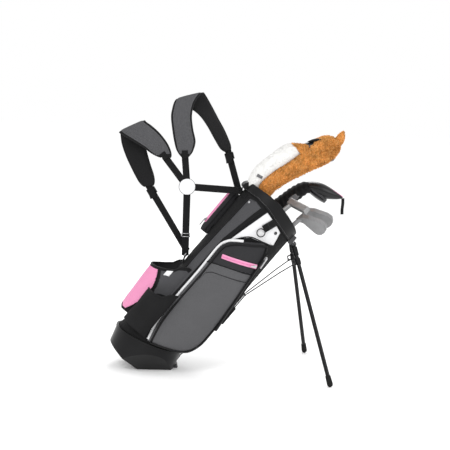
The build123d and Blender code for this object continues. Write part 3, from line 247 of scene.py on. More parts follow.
VINYL = material("black_vinyl", (0.008, 0.008, 0.009), 0.36, "plain", vary=0.2, bump=0.2, coat=0.05, spec=0.3)
SILVER = material("silver_patch", (0.10, 0.10, 0.105), 0.45, "weave", vary=0.2, bump=0.3)
HEADP = material("gloss_club_paint", (0.009, 0.009, 0.011), 0.24, "plain", vary=0.1, bump=0.02, coat=0.3, spec=0.3)
LABEL = material("blank_label", (0.74, 0.74, 0.75), 0.6, "weave", vary=0.03, bump=0.2)
LINER = material("grey_liner", (0.035, 0.035, 0.037), 0.8, "weave", vary=0.15, bump=0.2, spec=0.15)


# ------------------------------------------------------------- mesh tools
def mesh(name, verts, faces, mats, fm=None, smooth=True, body="bag", sub=0):
    me = bpy.data.meshes.new(name)
    me.from_pydata([tuple(map(float, v)) for v in verts], [], [tuple(map(int, f)) for f in faces])
    me.validate()
    for m_ in (mats if isinstance(mats, (list, tuple)) else [mats]):
        me.materials.append(m_)
    if fm is not None and len(fm) == len(me.polygons):
        me.polygons.foreach_set("material_index", np.array(fm, dtype=np.int32))
    me.polygons.foreach_set("use_smooth", [smooth] * len(me.polygons))
    bm = bmesh.new()
    bm.from_mesh(me)
    bmesh.ops.recalc_face_normals(bm, faces=bm.faces)
    bm.to_mesh(me)
    bm.free()
    o = bpy.data.objects.new(name, me)
    bpy.context.scene.collection.objects.link(o)
    if sub:
        md = o.modifiers.new("sub", "SUBSURF")
        md.levels = md.render_levels = sub
    if body:
        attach(o, body)
    return o


def catmull(P, k):
    """Resample control rows smoothly, k steps a span."""
    P = np.array(P, float)
    out = []
    n = len(P)
    for i in range(n - 1):
        p0, p1, p2, p3 = P[max(i - 1, 0)], P[i], P[i + 1], P[min(i + 2, n - 1)]
        for j in range(k):
            t = j / k
            out.append(0.5 * ((2 * p1) + (-p0 + p2) * t + (2 * p0 - 5 * p1 + 4 * p2 - p3) * t * t + (-p0 + 3 * p1 - 3 * p2 + p3) * t ** 3))
    out.append(P[-1])
    return np.array(out)


def sweep(name, centres, wdirs, ws, hs, mats, exps=2.0, nseg=24, body="bag", band=None, disp=None, caps=True, sub=0):
    """Closed sweep of superellipses. wdirs the width directions; band(j_angle) gives a material index."""
    C = np.array(centres, float)
    n = len(C)
    V, F, FM = [], [], []
    T = np.gradient(C, axis=0)
    for i in range(n):
        t = unit(T[i])
        w = np.array(wdirs[i], float)
        w = unit(w)
        h = unit(np.cross(t, w))
        for j in range(nseg):
            a = 2 * math.pi * j / nseg
            ca, sa = math.cos(a), math.sin(a)
            e = 2.0 / exps
            x = math.copysign(abs(ca) ** e, ca) * ws[i]
            z = math.copysign(abs(sa) ** e, sa) * hs[i]
            p = C[i] + w * x + h * z
            if disp is not None:
                p = p + unit(w * x + h * z + 1e-9) * disp(p)
            V.append(p)
    for i in range(n - 1):
        for j in range(nseg):
            k = (j + 1) % nseg
            F.append((i * nseg + j, i * nseg + k, (i + 1) * nseg + k, (i + 1) * nseg + j))
            FM.append(band((j + 0.5) / nseg, i / (n - 1)) if band else 0)
    if caps:
        for i, rev in ((0, True), (n - 1, False)):
            c = len(V)
            V.append(C[i])
            for j in range(nseg):
                k = (j + 1) % nseg
                F.append((c, i * nseg + k, i * nseg + j) if rev else (c, i * nseg + j, i * nseg + k))
                FM.append(band((j + 0.5) / nseg, i / (n - 1)) if band else 0)
    return mesh(name, V, F, mats, FM, True, body, sub)


def tube(name, pts, r, mat_, body="bag", nseg=8):
    P = np.array(pts, float)
    up = np.array([0.13, 0.9, 0.21])
    W = []
    T = np.gradient(P, axis=0)
    for i in range(len(P)):
        w = np.cross(unit(T[i]), up)
        W.append(unit(w))
    return sweep(name, P, W, [r] * len(P), [r] * len(P), mat_, 2.0, nseg, body)


def smooth_noise(p, f, seed=0.0):
    x, y, z = p * f + seed
    return (math.sin(x * 1.7 + 1.3 * math.sin(y * 1.1 + z * 0.7)) + math.sin(y * 2.3 + 1.1 * math.sin(z * 1.9 + x)) + math.sin(z * 1.9 + 0.9 * math.sin(x * 2.1 - y))) / 3.0


# polygon patches wrapped on a surface ------------------------------------
def seg_dist(px, poly):
    a = np.array(poly, float)
    b = np.roll(a, -1, axis=0)
    d = b - a
    t = np.clip(((px - a) * d).sum(1) / np.maximum((d * d).sum(1), 1e-9), 0, 1)
    q = a + d * t[:, None]
    return float(np.sqrt(((px - q) ** 2).sum(1)).min())


def patch(name, poly, surf, mats, r_in=0.0, r_out=1.2, puff=0.0, puff_w=12.0, step=6.0, body="bag", inner=None,
          classify=None, disp=None, round_corners=0, edge=1.5):
    """A closed pad over polygon poly in surface coordinates (mm), wrapped by surf(u, v, height) in mm."""
    poly = [np.array(p, float) for p in poly]
    for _ in range(round_corners):
        q = []
        for i in range(len(poly)):
            a, b = poly[i], poly[(i + 1) % len(poly)]
            q += [a * 0.75 + b * 0.25, a * 0.25 + b * 0.75]
        poly = q
    bm = bmesh.new()
    vs = [bm.verts.new((p[0], p[1], 0)) for p in poly]
    bm.faces.new(vs)
    lo = np.min(poly, axis=0)
    hi = np.max(poly, axis=0)
    for ax in (0, 1):
        k = math.floor(lo[ax] / step) + 1
        while k * step < hi[ax]:
            co, no = [0, 0, 0], [0, 0, 0]
            co[ax] = k * step
            no[ax] = 1
            bmesh.ops.bisect_plane(bm, geom=bm.verts[:] + bm.edges[:] + bm.faces[:], plane_co=co, plane_no=no, dist=1e-4)
            k += 1
    bmesh.ops.remove_doubles(bm, verts=bm.verts[:], dist=0.05)
    bm.verts.index_update()
    pts = np.array([v.co[:2] for v in bm.verts])
    faces = [[v.index for v in f.verts] for f in bm.faces]
    bnd = [(e.verts[0].index, e.verts[1].index) for e in bm.edges if e.is_boundary]
    bm.free()
    n = len(pts)
    V, F, FM = [], [], []
    for p in pts:
        d = seg_dist(p, poly)
        h = r_out + puff * (1 - math.exp(-d / puff_w)) - edge * 0.5 * math.exp(-d / 1.6)
        if disp is not None:
            h += disp(p[0], p[1], d)
        V.append(surf(p[0], p[1], h))
    for p in pts:
        V.append((inner or surf)(p[0], p[1], r_in))
    for f in faces:
        F.append(f)
        c = pts[f].mean(0)
        FM.append(classify(c[0], c[1]) if classify else 0)
        F.append([i + n for i in reversed(f)])
        FM.append(0)
    for a, b in bnd:
        F.append((a, b, b + n, a + n))
        c = (pts[a] + pts[b]) / 2
        FM.append(classify(c[0], c[1]) if classify else 0)
    V = [v / 1000.0 for v in V]
    return mesh(name, V, F, mats, FM, True, body)


def bagp(n, y, s):
    return at(n, y, s) * 1000.0


def on_tube(a, s, h):
    """a is arc length in mm at radius 97 from the underside, negative on the near side."""
    ph = a / 97.0
    r = 97.0 + h
    return bagp(NC + r * math.cos(ph), r * math.sin(ph), s)


def A(deg):
    return math.radians(deg) * 97.0


def pocket_r(ph):
    c, s_ = math.cos(ph), math.sin(ph)
    b = 15 * c - 29 * s_
    return b + math.sqrt(max(92.5 ** 2 - 15 ** 2 - 29 ** 2 + b * b, 1))


def on_pocket(a, s, h):
    ph = a / 97.0
    r = pocket_r(ph) + h
    return bagp(NC + r * math.cos(ph), r * math.sin(ph), s)


def pocket_a(n):
    """arc coordinate of a pocket point with that n, near side."""
    lo_, hi_ = math.radians(-179), math.radians(-5)
    for _ in range(60):
        m_ = (lo_ + hi_) / 2
        if NC + pocket_r(m_) * math.cos(m_) < n:
            lo_ = m_
        else:
            hi_ = m_
    return lo_ * 97.0


# ---------------------------------------------------------------- the tube
LOWER = [(-160, 560), (-99, 569), (-60, 564), (7, 545), (64, 532), (90, 524)]


def lower_edge(n):
    return float(np.interp(n, [p[0] for p in LOWER], [p[1] for p in LOWER]))


CUPX = np.array([math.sin(math.radians(68.7)), 0, -math.cos(math.radians(68.7))])
CUPZ = np.array([math.cos(math.radians(68.7)), 0, math.sin(math.radians(68.7))])
CUPO = np.array([-18.0, 0, 87.0])


def ring(kind, r, ph):
    c, s_ = math.cos(ph), math.sin(ph)
    if kind == "cup-":
        return CUPO - CUPZ * 12 + CUPX * r * c + np.array([0, r * s_, 0])
    if kind == "cup+":
        return CUPO + CUPZ * 2 + CUPX * r * c + np.array([0, r * s_, 0])
    if kind == "mid":
        a = math.radians(60)
        return bagp(-49.5, 0, 125) + np.array([math.sin(a), 0, -math.cos(a)]) * r * c + np.array([0, r * s_, 0])
    return bagp(NC + r * c, r * s_, kind)


def lag(P, T, t):
    out = 0
    for i in range(3):
        w = 1.0
        for j in range(3):
            if i != j:
                w *= (t - T[j]) / (T[i] - T[j])
        out = out + P[i] * w
    return out


def tube_point(ph, v, r):
    """v from 0 at the bottom to 1 at the collar."""
    if v < 0.03:
        t = v / 0.03
        return ring("cup-", r, ph) * (1 - t) + ring("cup+", r, ph) * t
    if v < 0.30:
        t = (v - 0.03) / 0.27
        return lag([ring("cup+", r, ph), ring("mid", r, ph), ring(205.0, r, ph)], [0, 0.5, 1.0], t)
    n = NC + r * math.cos(ph)
    s = 205 + (lower_edge(n) + 3 - 205) * (v - 0.30) / 0.70
    return ring(s, r, ph)


NP, NV = 120, 90
V, F, FM = [], [], []
for layer, r0 in ((0, 96.9), (1, 94.6)):
    for i in range(NV + 1):
        v = i / NV
        for j in range(NP):
            ph = 2 * math.pi * j / NP
            p = tube_point(ph, v, r0)
            amp = 0.9 * math.sin(math.pi * min(1, max(0, v))) if layer == 0 else 0
            w = smooth_noise(p, 0.035, 2.0) * amp + 0.35 * smooth_noise(p, 0.11, 5.0) * amp - 0.6 * amp
            p = tube_point(ph, v, r0 + w)
            V.append(p / 1000.0)
base1 = (NV + 1) * NP
for i in range(NV):
    for j in range(NP):
        k = (j + 1) % NP
        F.append((i * NP + j, i * NP + k, (i + 1) * NP + k, (i + 1) * NP + j)); FM.append(0)
        F.append((base1 + i * NP + j, base1 + (i + 1) * NP + j, base1 + (i + 1) * NP + k, base1 + i * NP + k)); FM.append(1)
for j in range(NP):
    k = (j + 1) % NP
    F.append((j, base1 + j, base1 + k, k)); FM.append(0)
    t = NV * NP
    F.append((t + j, t + k, base1 + t + k, base1 + t + j)); FM.append(0)
tube_o = mesh("bag_tube_fabric", V, F, [BLACKF, LINER], FM, True, "bag")
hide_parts("bag_tube")

# panels on the tube, near side ------------------------------------------
grey_panel = [(A(-153), 333), (A(-150), 395), (A(-146), 480), (A(-143), 556), (A(-128), 561), (A(-114), 556), (A(-118), 530), (A(-124), 480), (A(-131.5), 420), (A(-133), 330), (A(-136), 215), (A(-139), 120), (A(-153), 120)]
patch("grey_side_panel", grey_panel, on_tube, [GREYF], -0.6, 0.7, 0.4, 10, 8)
white_panel = [(A(-120.4), 429), (A(-111), 492), (A(-101), 558), (A(-80), 549), (A(-59.6), 537), (A(-52.5), 497), (A(-70), 486), (A(-95), 474), (A(-108), 454), (A(-117), 432)]
patch("white_side_panel", white_panel, on_tube, [WHITE], -0.6, 1.0, 0.4, 8, 6)


def line_on(fn, pts, h, k=8):
    P = catmull(pts, k)
    return [fn(a, s, h) / 1000.0 for a, s in P]


# the black cords beside the grey panel and along the white panel; the thin white piping down the pocket's edge is built
# with the side pocket
tube("grey_panel_cord_a", line_on(on_tube, [(A(-124), 330), (A(-122.5), 410), (A(-117), 490), (A(-106), 561)], 1.2), 0.0017, BLACKP)
tube("grey_panel_cord_b", line_on(on_tube, [(A(-153.5), 230), (A(-153), 333), (A(-150), 395), (A(-143), 558)], 1.0), 0.0015, BLACKP)
tube("white_panel_cord", line_on(on_tube, [(A(-117), 432), (A(-108), 454), (A(-95), 476), (A(-70), 488), (A(-52), 498), (A(-59), 538)], 1.3, 6), 0.0016, BLACKP)

# snap rivets on the white panel
def disc(name, c, nrm, r, t, mat_, body="bag", seg=24):
    nrm = unit(nrm)
    a = unit(np.cross(nrm, [0.3, 0.2, 0.9]))
    b = np.cross(nrm, a)
    V, F = [], []
    prof = [(0.0, t), (0.55 * r, t), (0.85 * r, 0.82 * t), (r, 0.3 * t), (r, -0.0002)]
    for rr, hh in prof[1:]:
        for j in range(seg):
            an = 2 * math.pi * j / seg
            V.append(c + a * rr * math.cos(an) + b * rr * math.sin(an) + nrm * hh)
    m_ = len(prof) - 1
    for i in range(m_ - 1):
        for j in range(seg):
            k = (j + 1) % seg
            F.append((i * seg + j, (i + 1) * seg + j, (i + 1) * seg + k, i * seg + k))
    V.append(c + nrm * t)
    V.append(c - nrm * 0.0002)
    for j in range(seg):
        k = (j + 1) % seg
        F.append((len(V) - 2, j, k))
        F.append((len(V) - 1, (m_ - 1) * seg + k, (m_ - 1) * seg + j))
    return mesh(name, V, F, mat_, None, True, body)


for nm, ph, s, rr in (("snap_a", -67, 528, 0.0050), ("snap_b", -138, 547, 0.0038)):
    pr = math.radians(ph)
    c = on_tube(A(ph), s, 1.4) / 1000.0
    disc(nm, c, bagp(math.cos(pr), math.sin(pr), 0), rr, 0.0022, GREYPL if nm == "snap_a" else STEEL)

# ------------------------------------------------------------- side pocket
out_ns = [(-84, 61), (-94, 133), (-97, 216), (-95, 307), (-97, 394), (-87, 427), (-65, 447), (-35, 467), (-3, 485), (9, 479),
          (32, 401), (42, 326), (47, 235), (48, 188), (47, 152), (36, 121), (15, 100), (-32, 79)]
pk = [(pocket_a(n), s) for n, s in out_ns]


def band_line(a):
    """s of the lower edge of the dark top band."""
    return float(np.interp(a, [A(-126), A(-88), A(-50)], [341, 373, 404]))


def inner_wall(a, s, h):
    ph = a / 97.0
    r = 97.6
    return bagp(NC + r * math.cos(ph), r * math.sin(ph), s)


def pocket_disp(a, s, d):
    p = np.array([a, s, 0.0])
    w = 0.8 * smooth_noise(p, 0.028, 3.0) * min(1, d / 20)
    # seam channels
    for f in (lambda x: band_line(x),):
        w -= 1.5 * math.exp(-((s - f(a)) / 2.6) ** 2)
    seam = float(np.interp(a, [A(-120), A(-113.6), A(-106.5), A(-53)], [220, 316, 330, 374]))
    w -= 0.9 * math.exp(-((s - seam) / 2.2) ** 2) * (1 if d > 4 else 0)
    return w


pock = patch("side_pocket_fabric", pk, on_pocket, [CHAR, DARKC], 0.0, -2.4, 3.2, 16, 5, inner=inner_wall,
             classify=lambda a, s: 1 if s > band_line(a) else 0, disp=pocket_disp)
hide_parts("side_pocket")
edge_w = catmull([(-83, 66), (-91, 100), (-95.5, 133), (-98, 216), (-97, 307), (-98.5, 394), (-90, 424), (-77, 439), (-58, 454)], 8)
tube("white_piping", [on_pocket(pocket_a(max(n, -100)), q, -2.2) / 1000.0 for n, q in edge_w], 0.0040, WHITE, nseg=12)
bind = [(-72, 64), (-84, 133), (-87, 216), (-86, 307), (-87.5, 394), (-79, 419), (-60, 440), (-33, 460), (-3, 481), (8, 475),
        (31, 401), (41, 326), (46, 235), (47, 188), (46, 152), (35.5, 122), (15, 102), (-32, 81)]
loop = catmull([(pocket_a(n), q) for n, q in bind + [bind[0]]], 4)
tube("pocket_binding", [on_pocket(a, s, 0.2) / 1000.0 for a, s in loop], 0.0030, BLACKP)
seamline = [(a, float(np.interp(a, [A(-120), A(-113.6), A(-106.5), A(-53)], [220, 316, 330, 374]))) for a in np.linspace(A(-122), A(-51), 40)]
tube("pocket_seam_cord", [on_pocket(a, s, 0.0) / 1000.0 for a, s in seamline], 0.0009, BLACKP, nseg=6)
bl = [(a, band_line(a)) for a in np.linspace(A(-124.5), A(-50.5), 40)]
tube("pocket_band_cord", [on_pocket(a, s, -0.4) / 1000.0 for a, s in bl], 0.0016, BLACKP, nseg=6)


def stitches(name, pts, mat_, length=0.0026, gap=0.0022, r=0.00038, body="bag"):
    P = np.array(pts, float)
    seg = np.linalg.norm(np.diff(P, axis=0), axis=1)
    cum = np.concatenate([[0], np.cumsum(seg)])
    V, F = [], []
    x = 0.0
    while x + length < cum[-1]:
        a = np.array([np.interp(x, cum, P[:, k]) for k in range(3)])
        b = np.array([np.interp(x + length, cum, P[:, k]) for k in range(3)])
        t = unit(b - a)
        u_ = unit(np.cross(t, [0.2, 0.9, 0.3]))
        w_ = np.cross(t, u_)
        o = len(V)
        for q, f in ((a, 0.4), ((a + b) / 2, 1.0), (b, 0.4)):
            for j in range(4):
                an = math.pi / 2 * j
                V.append(q + (u_ * math.cos(an) + w_ * math.sin(an)) * r * f)
        for i in range(2):
            for j in range(4):
                k = (j + 1) % 4
                F.append((o + i * 4 + j, o + i * 4 + k, o + i * 4 + 4 + k, o + i * 4 + 4 + j))
        F.append((o, o + 3, o + 2, o + 1))
        F.append((o + 8, o + 9, o + 10, o + 11))
        x += length + gap
    return mesh(name, V, F, mat_, None, True, body)


THREAD = material("grey_thread", (0.16, 0.16, 0.165), 0.6, "plain", vary=0.1)
stitches("pocket_stitch_a", [on_pocket(a, s - 4.0, 0.9) / 1000.0 for a, s in bl], THREAD)
stitches("pocket_stitch_b", [on_pocket(a, s - 3.2, 0.9) / 1000.0 for a, s in seamline], THREAD)


# ------------------------------------------------------------------- zips
def zipper(name, pts, nrm, w, tape, coil, body="bag", node=None):
    """A tape with a row of teeth; pts and nrm along it in metres."""
    P = np.array(pts, float)
    T = np.gradient(P, axis=0)
    V, F, FM = [], [], []
    for i in range(len(P)):
        t = unit(T[i]); nn = unit(nrm[i]); wd = unit(np.cross(nn, t))
        prof = [(-w / 2, -0.0006), (-w / 2, 0.0004), (-w * 0.16, 0.0012), (w * 0.16, 0.0012), (w / 2, 0.0004), (w / 2, -0.0006)]
        for x, z in prof:
            V.append(P[i] + wd * x + nn * z)
    n = len(P)
    for i in range(n - 1):
        for j in range(6):
            k = (j + 1) % 6
            F.append((i * 6 + j, i * 6 + k, (i + 1) * 6 + k, (i + 1) * 6 + j)); FM.append(0)
    F.append(tuple(range(5, -1, -1))); FM.append(0)
    F.append(tuple((n - 1) * 6 + j for j in range(6))); FM.append(0)
    seg = np.linalg.norm(np.diff(P, axis=0), axis=1)
    cum = np.concatenate([[0], np.cumsum(seg)])
    x = 0.0015
    side = 1
    while x < cum[-1] - 0.001:
        c = np.array([np.interp(x, cum, P[:, k]) for k in range(3)])
        tt = unit([np.interp(x, cum, T[:, k]) for k in range(3)])
        nn = unit([np.interp(x, cum, np.array(nrm)[:, k]) for k in range(3)])
        wd = unit(np.cross(nn, tt))
        c = c + wd * side * 0.0007 + nn * 0.0014
        o = len(V)
        for sx in (-1, 1):
            for sw in (-1, 1):
                for sn in (-1, 1):
                    V.append(c + tt * sx * 0.00055 + wd * sw * 0.0012 + nn * sn * 0.0006 * (0.8 if sw * side > 0 else 1))
        for q in ((0, 1, 3, 2), (4, 6, 7, 5), (0, 4, 5, 1), (2, 3, 7, 6), (0, 2, 6, 4), (1, 5, 7, 3)):
            F.append(tuple(o + z for z in q)); FM.append(1)
        x += 0.0016
        side = -side
    o = mesh(name, V, F, [tape, coil], FM, False, body)
    if node:
        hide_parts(node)
    return o


# long zip down the pocket's belly edge
za, zb = at(16.5, -116.0, 468.0), at(51.0, -92.0, 205.0)
zd = unit(zb - za)
zo = at(0.62, -0.785, 0.0) * 1000
zo = unit(zo - zd * np.dot(zo, zd))
zp = [za + (zb - za) * t + zo * 0.0016 for t in np.linspace(0, 1, 60)]
zipper("side_zip_tape", zp, [zo] * 60, 0.0095, BLACKF, BLKT, node="side_zip")
# small arc zip
tl = math.radians(23.0)
pmid = at(-22.0, -29.0 - 92.5, 405.5)
pax = unit(at(-math.sin(tl), 0, math.cos(tl)))
pcen = pmid + np.array([0, 0.104, 0])
px = np.array([0, -1.0, 0])
py = np.cross(pax, px)
half = 61.0 / 104.0
an = np.linspace(-half, math.radians(24), 60)
pts = [pcen + (px * math.cos(q) + py * math.sin(q)) * 0.1062 for q in an]
nr = [px * math.cos(q) + py * math.sin(q) for q in an]
zipper("valuables_zip_tape", pts, nr, 0.0125, PINKZ, PINKT, node="valuables_zip")
fz = [at(-160.9, 11.4, s) for s in np.linspace(420, 532, 40)]
zipper("spine_zip_tape", fz, [unit(at(-1, -0.35, 0))] * 40, 0.0115, PINKZ, PINKT, node="spine_zip")

# ------------------------------------------------------------ spine pocket
sec = catmull([(-134, 10), (-158, 6), (-156, 34), (-128, 78), (-88, 98), (-64, 92)], 6)
V, F, FM = [], [], []
ss = np.linspace(395, 541, 26)
ns = len(sec)
for i, s in enumerate(ss):
    e = min(1.0, min(i, len(ss) - 1 - i) / 4.0)
    sc = 1 - 0.16 * (1 - e) ** 2
    for j, (n, y) in enumerate(sec):
        d = np.array([n - NC, y])
        r = np.linalg.norm(d)
        r2 = 98.0 + (r - 98.0) * sc if r > 98 else 98.0
        nn = d / r * (r2 - 0.4 + 0.6 * smooth_noise(np.array([n, y, s]), 0.06))
        V.append(at(NC + nn[0], nn[1], s))
m0 = len(V)
for i, s in enumerate(ss):
    for j, (n, y) in enumerate(sec):
        d = unit([n - NC, y]) * 97.5
        V.append(at(NC + d[0], d[1], s))
for i in range(len(ss) - 1):
    for j in range(ns - 1):
        a = i * ns + j
        F.append((a, a + 1, a + ns + 1, a + ns))
        F.append((m0 + a, m0 + a + ns, m0 + a + ns + 1, m0 + a + 1))
for i in range(len(ss) - 1):
    for j in (0, ns - 1):
        a = i * ns + j
        F.append((a, a + ns, m0 + a + ns, m0 + a))
for j in range(ns - 1):
    for i in (0, len(ss) - 1):
        a = i * ns + j
        F.append((a, a + 1, m0 + a + 1, m0 + a))
sp = mesh("spine_pocket_fabric", V, F, [DARKC], None, True, "bag")
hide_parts("spine_pocket")
for jj, nm in ((3, "a"), (ns - 3, "b")):
    tube("spine_pocket_cord_" + nm, [V[i * ns + jj] for i in range(1, len(ss) - 1)], 0.0014, BLACKP)

# -------------------------------------------------------- accessory pouch
UP = [(-120, 292), (-137, 279), (-146, 262), (-166, 247), (-191, 233), (-204, 228)]
DN = [(-120, 52), (-168, 57), (-191, 68), (-204, 78)]


def pouch_pt(psi, v, h):
    n = -120 + (84 + h) * math.cos(psi)
    y = (66 + h) * math.sin(psi)
    nn = min(max(n, -204), -100)
    s1 = float(np.interp(-nn, [-p[0] for p in UP], [p[1] for p in UP]))
    s0 = float(np.interp(-nn, [-p[0] for p in DN], [p[1] for p in DN]))
    # keep off the rim of the base cup
    s0 = max(s0, 76 + (n + 204) * 0.10 if n < -150 else 66)
    s = s0 + (s1 - s0) * v
    left = float(np.interp(s, [66, 137, 180, 228], [-191, -197, -200, -204]))
    return bagp(max(n, left - h), y, s)


PS = np.linspace(math.radians(62), math.radians(298), 150)
NVp = 44
V, F, FM = [], [], []
for h0 in (-0.4, -3.0):
    for i in range(NVp + 1):
        v = i / NVp
        for ps in PS:
            p = pouch_pt(ps, v, h0)
            wv = 0.0
            if h0 > -1:
                near_ = math.exp(-((math.degrees(ps) - 235) / 28) ** 2)
                wv = 1.2 * smooth_noise(p, 0.05, 4.0) * (0.3 + near_) - 1.0
                wv += 1.3 * math.exp(-((v - 1.0) / 0.05) ** 2)
            V.append(pouch_pt(ps, v, h0 + wv) / 1000.0)
npn = len(PS)
m0 = (NVp + 1) * npn


def pink_edge(v):
    return 37 + 22 * math.sin(math.pi * min(1.0, max(0.0, v))) ** 0.8


def pouch_mat(ps, v):
    d = abs(math.degrees(ps) - 180)
    lim = pink_edge(v)
    if d < lim:
        return 1 if 0.035 < v < 0.965 else 0
    if d < lim + 8 or v > 0.965:
        return 0
    return 2 if v > 0.55 else 0


for i in range(NVp):
    for j in range(npn - 1):
        a = i * npn + j
        F.append((a, a + 1, a + npn + 1, a + npn)); FM.append(pouch_mat((PS[j] + PS[j + 1]) / 2, (i + 0.5) / NVp))
        F.append((m0 + a, m0 + a + npn, m0 + a + npn + 1, m0 + a + 1)); FM.append(3)
for i in range(NVp):
    for j in (0, npn - 1):
        a = i * npn + j
        F.append((a, a + npn, m0 + a + npn, m0 + a)); FM.append(0)
for j in range(npn - 1):
    for i in (0, NVp):
        a = i * npn + j
        F.append((a, a + 1, m0 + a + 1, m0 + a)); FM.append(0)
po = mesh("accessory_pouch_fabric", V, F, [BLACKF, PINK, GREYF, LINER], FM, True, "bag")
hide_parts("accessory_pouch")
tube("pouch_mouth_binding", [pouch_pt(ps, 1.0, -1.4) / 1000.0 for ps in PS[1:-1]], 0.0024, BLACKP)
for nm, sg in (("a", -1), ("b", 1)):
    tube("pouch_edge_cord_" + nm, [pouch_pt(math.radians(180 + sg * (pink_edge(v) + 2)), v, 0.2) / 1000.0 for v in np.linspace(0.02, 0.99, 30)], 0.0015, BLACKP)


def pouch_surf(a, v, h):
    return pouch_pt(math.radians(a), v / 100.0, h)


patch("pouch_blank_label", [(240, 88), (251, 88), (251, 98), (240, 98)], pouch_surf, [LABEL], -0.5, 0.8, 0, 5, 3)

# ---------------------------------------------------------- bottle sleeve
SU_ = [(-176, 176), (-150, 178), (-130, 186), (-116, 206), (-100, 214), (-90, 216)]


def sleeve_pt(psi, v, h):
    n = -117 + (56 + h) * math.cos(psi)
    y = -52 + (62 + h) * math.sin(psi)
    s1 = float(np.interp(n, [p[0] for p in SU_], [p[1] for p in SU_]))
    s0 = 66.0
    return bagp(n, y, s0 + (s1 - s0) * v)


PSs = np.linspace(math.radians(192), math.radians(292), 44)
V, F, FM = [], [], []
NVs = 26
for h0 in (-0.3, -2.2):
    for i in range(NVs + 1):
        v = i / NVs
        for ps in PSs:
            p = sleeve_pt(ps, v, h0)
            w = (0.9 * smooth_noise(p, 0.05, 9.0) - 1.6 * math.sin(math.pi * v) * 0.7) if h0 > -1 else -1.0 * math.sin(math.pi * v)
            V.append(sleeve_pt(ps, v, h0 + w) / 1000.0)
npn = len(PSs)
m0 = (NVs + 1) * npn
for i in range(NVs):
    for j in range(npn - 1):
        a = i * npn + j
        F.append((a, a + 1, a + npn + 1, a + npn))
        F.append((m0 + a, m0 + a + npn, m0 + a + npn + 1, m0 + a + 1))
for i in range(NVs):
    for j in (0, npn - 1):
        a = i * npn + j
        F.append((a, a + npn, m0 + a + npn, m0 + a))
for j in range(npn - 1):
    for i in (0, NVs):
        a = i * npn + j
        F.append((a, a + 1, m0 + a + 1, m0 + a))
bs = mesh("bottle_sleeve_knit", V, F, [MESHM], None, True, "bag")
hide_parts("bottle_sleeve")
tube("bottle_sleeve_hem", [sleeve_pt(ps, 1.0, -1.0) / 1000.0 for ps in PSs], 0.0026, BLACKP)

# -------------------------------------------------------------- the straps
PAD_LEFT = [((7.4, -13, 612.8), (21.4, 0, -0.6)), ((-12.1, -15, 637.8), (25.1, 0, 11)), ((-33.6, -14, 659.5), (22.8, 0, 19.4)),
            ((-63.2, -9, 679.3), (29, 0, 19.6)), ((-83.1, -1, 690.5), (33.9, 0, 17.9)), ((-90.7, 10, 695.2), (34.9, 0, 18)),
            ((-89.6, 21, 687.3), (32.3, 0, 14.2)), ((-86.4, 27, 651.9), (30.7, 0, 7)), ((-75.7, 27, 617.8), (29.4, 0, 5.8)),
            ((-61.9, 25, 583.9), (26.6, 0, 5.4)), ((-47.9, 21, 553.6), (23.7, 0, 5.3)), ((-36.5, 17, 526.3), (18.6, 0, 3))]
PAD_RIGHT = [((62.8, -13, 616.5), (12.8, 0, 0.5)), ((61.4, -14, 636.5), (22.9, 0, -0.5)), ((60.3, -15, 662.1), (29.3, 0, 0.4)),
             ((52.9, -14, 695.8), (28.4, 0, 1.2)), ((48.1, -12, 732.3), (28.3, 0, 2.7)), ((52.8, -7, 762), (29.6, 0, 7)),
             ((62.3, 2, 781.4), (33.8, 0, 10)), ((72.5, 12, 788.7), (35.3, 4, 10.7)), ((86.3, 22, 779.7), (29.6, 12, 13.3)),
             ((116.9, 30, 750.8), (19.1, 19, 11.7)), ((140.2, 33, 718.1), (17, 20, 8.8)), ((160.6, 33, 684.9), (17.1, 18, 8)),
             ((178.9, 31, 652), (14.8, 12, 7)), ((188.8, 30, 637.1), (12, 8, 4.8))]


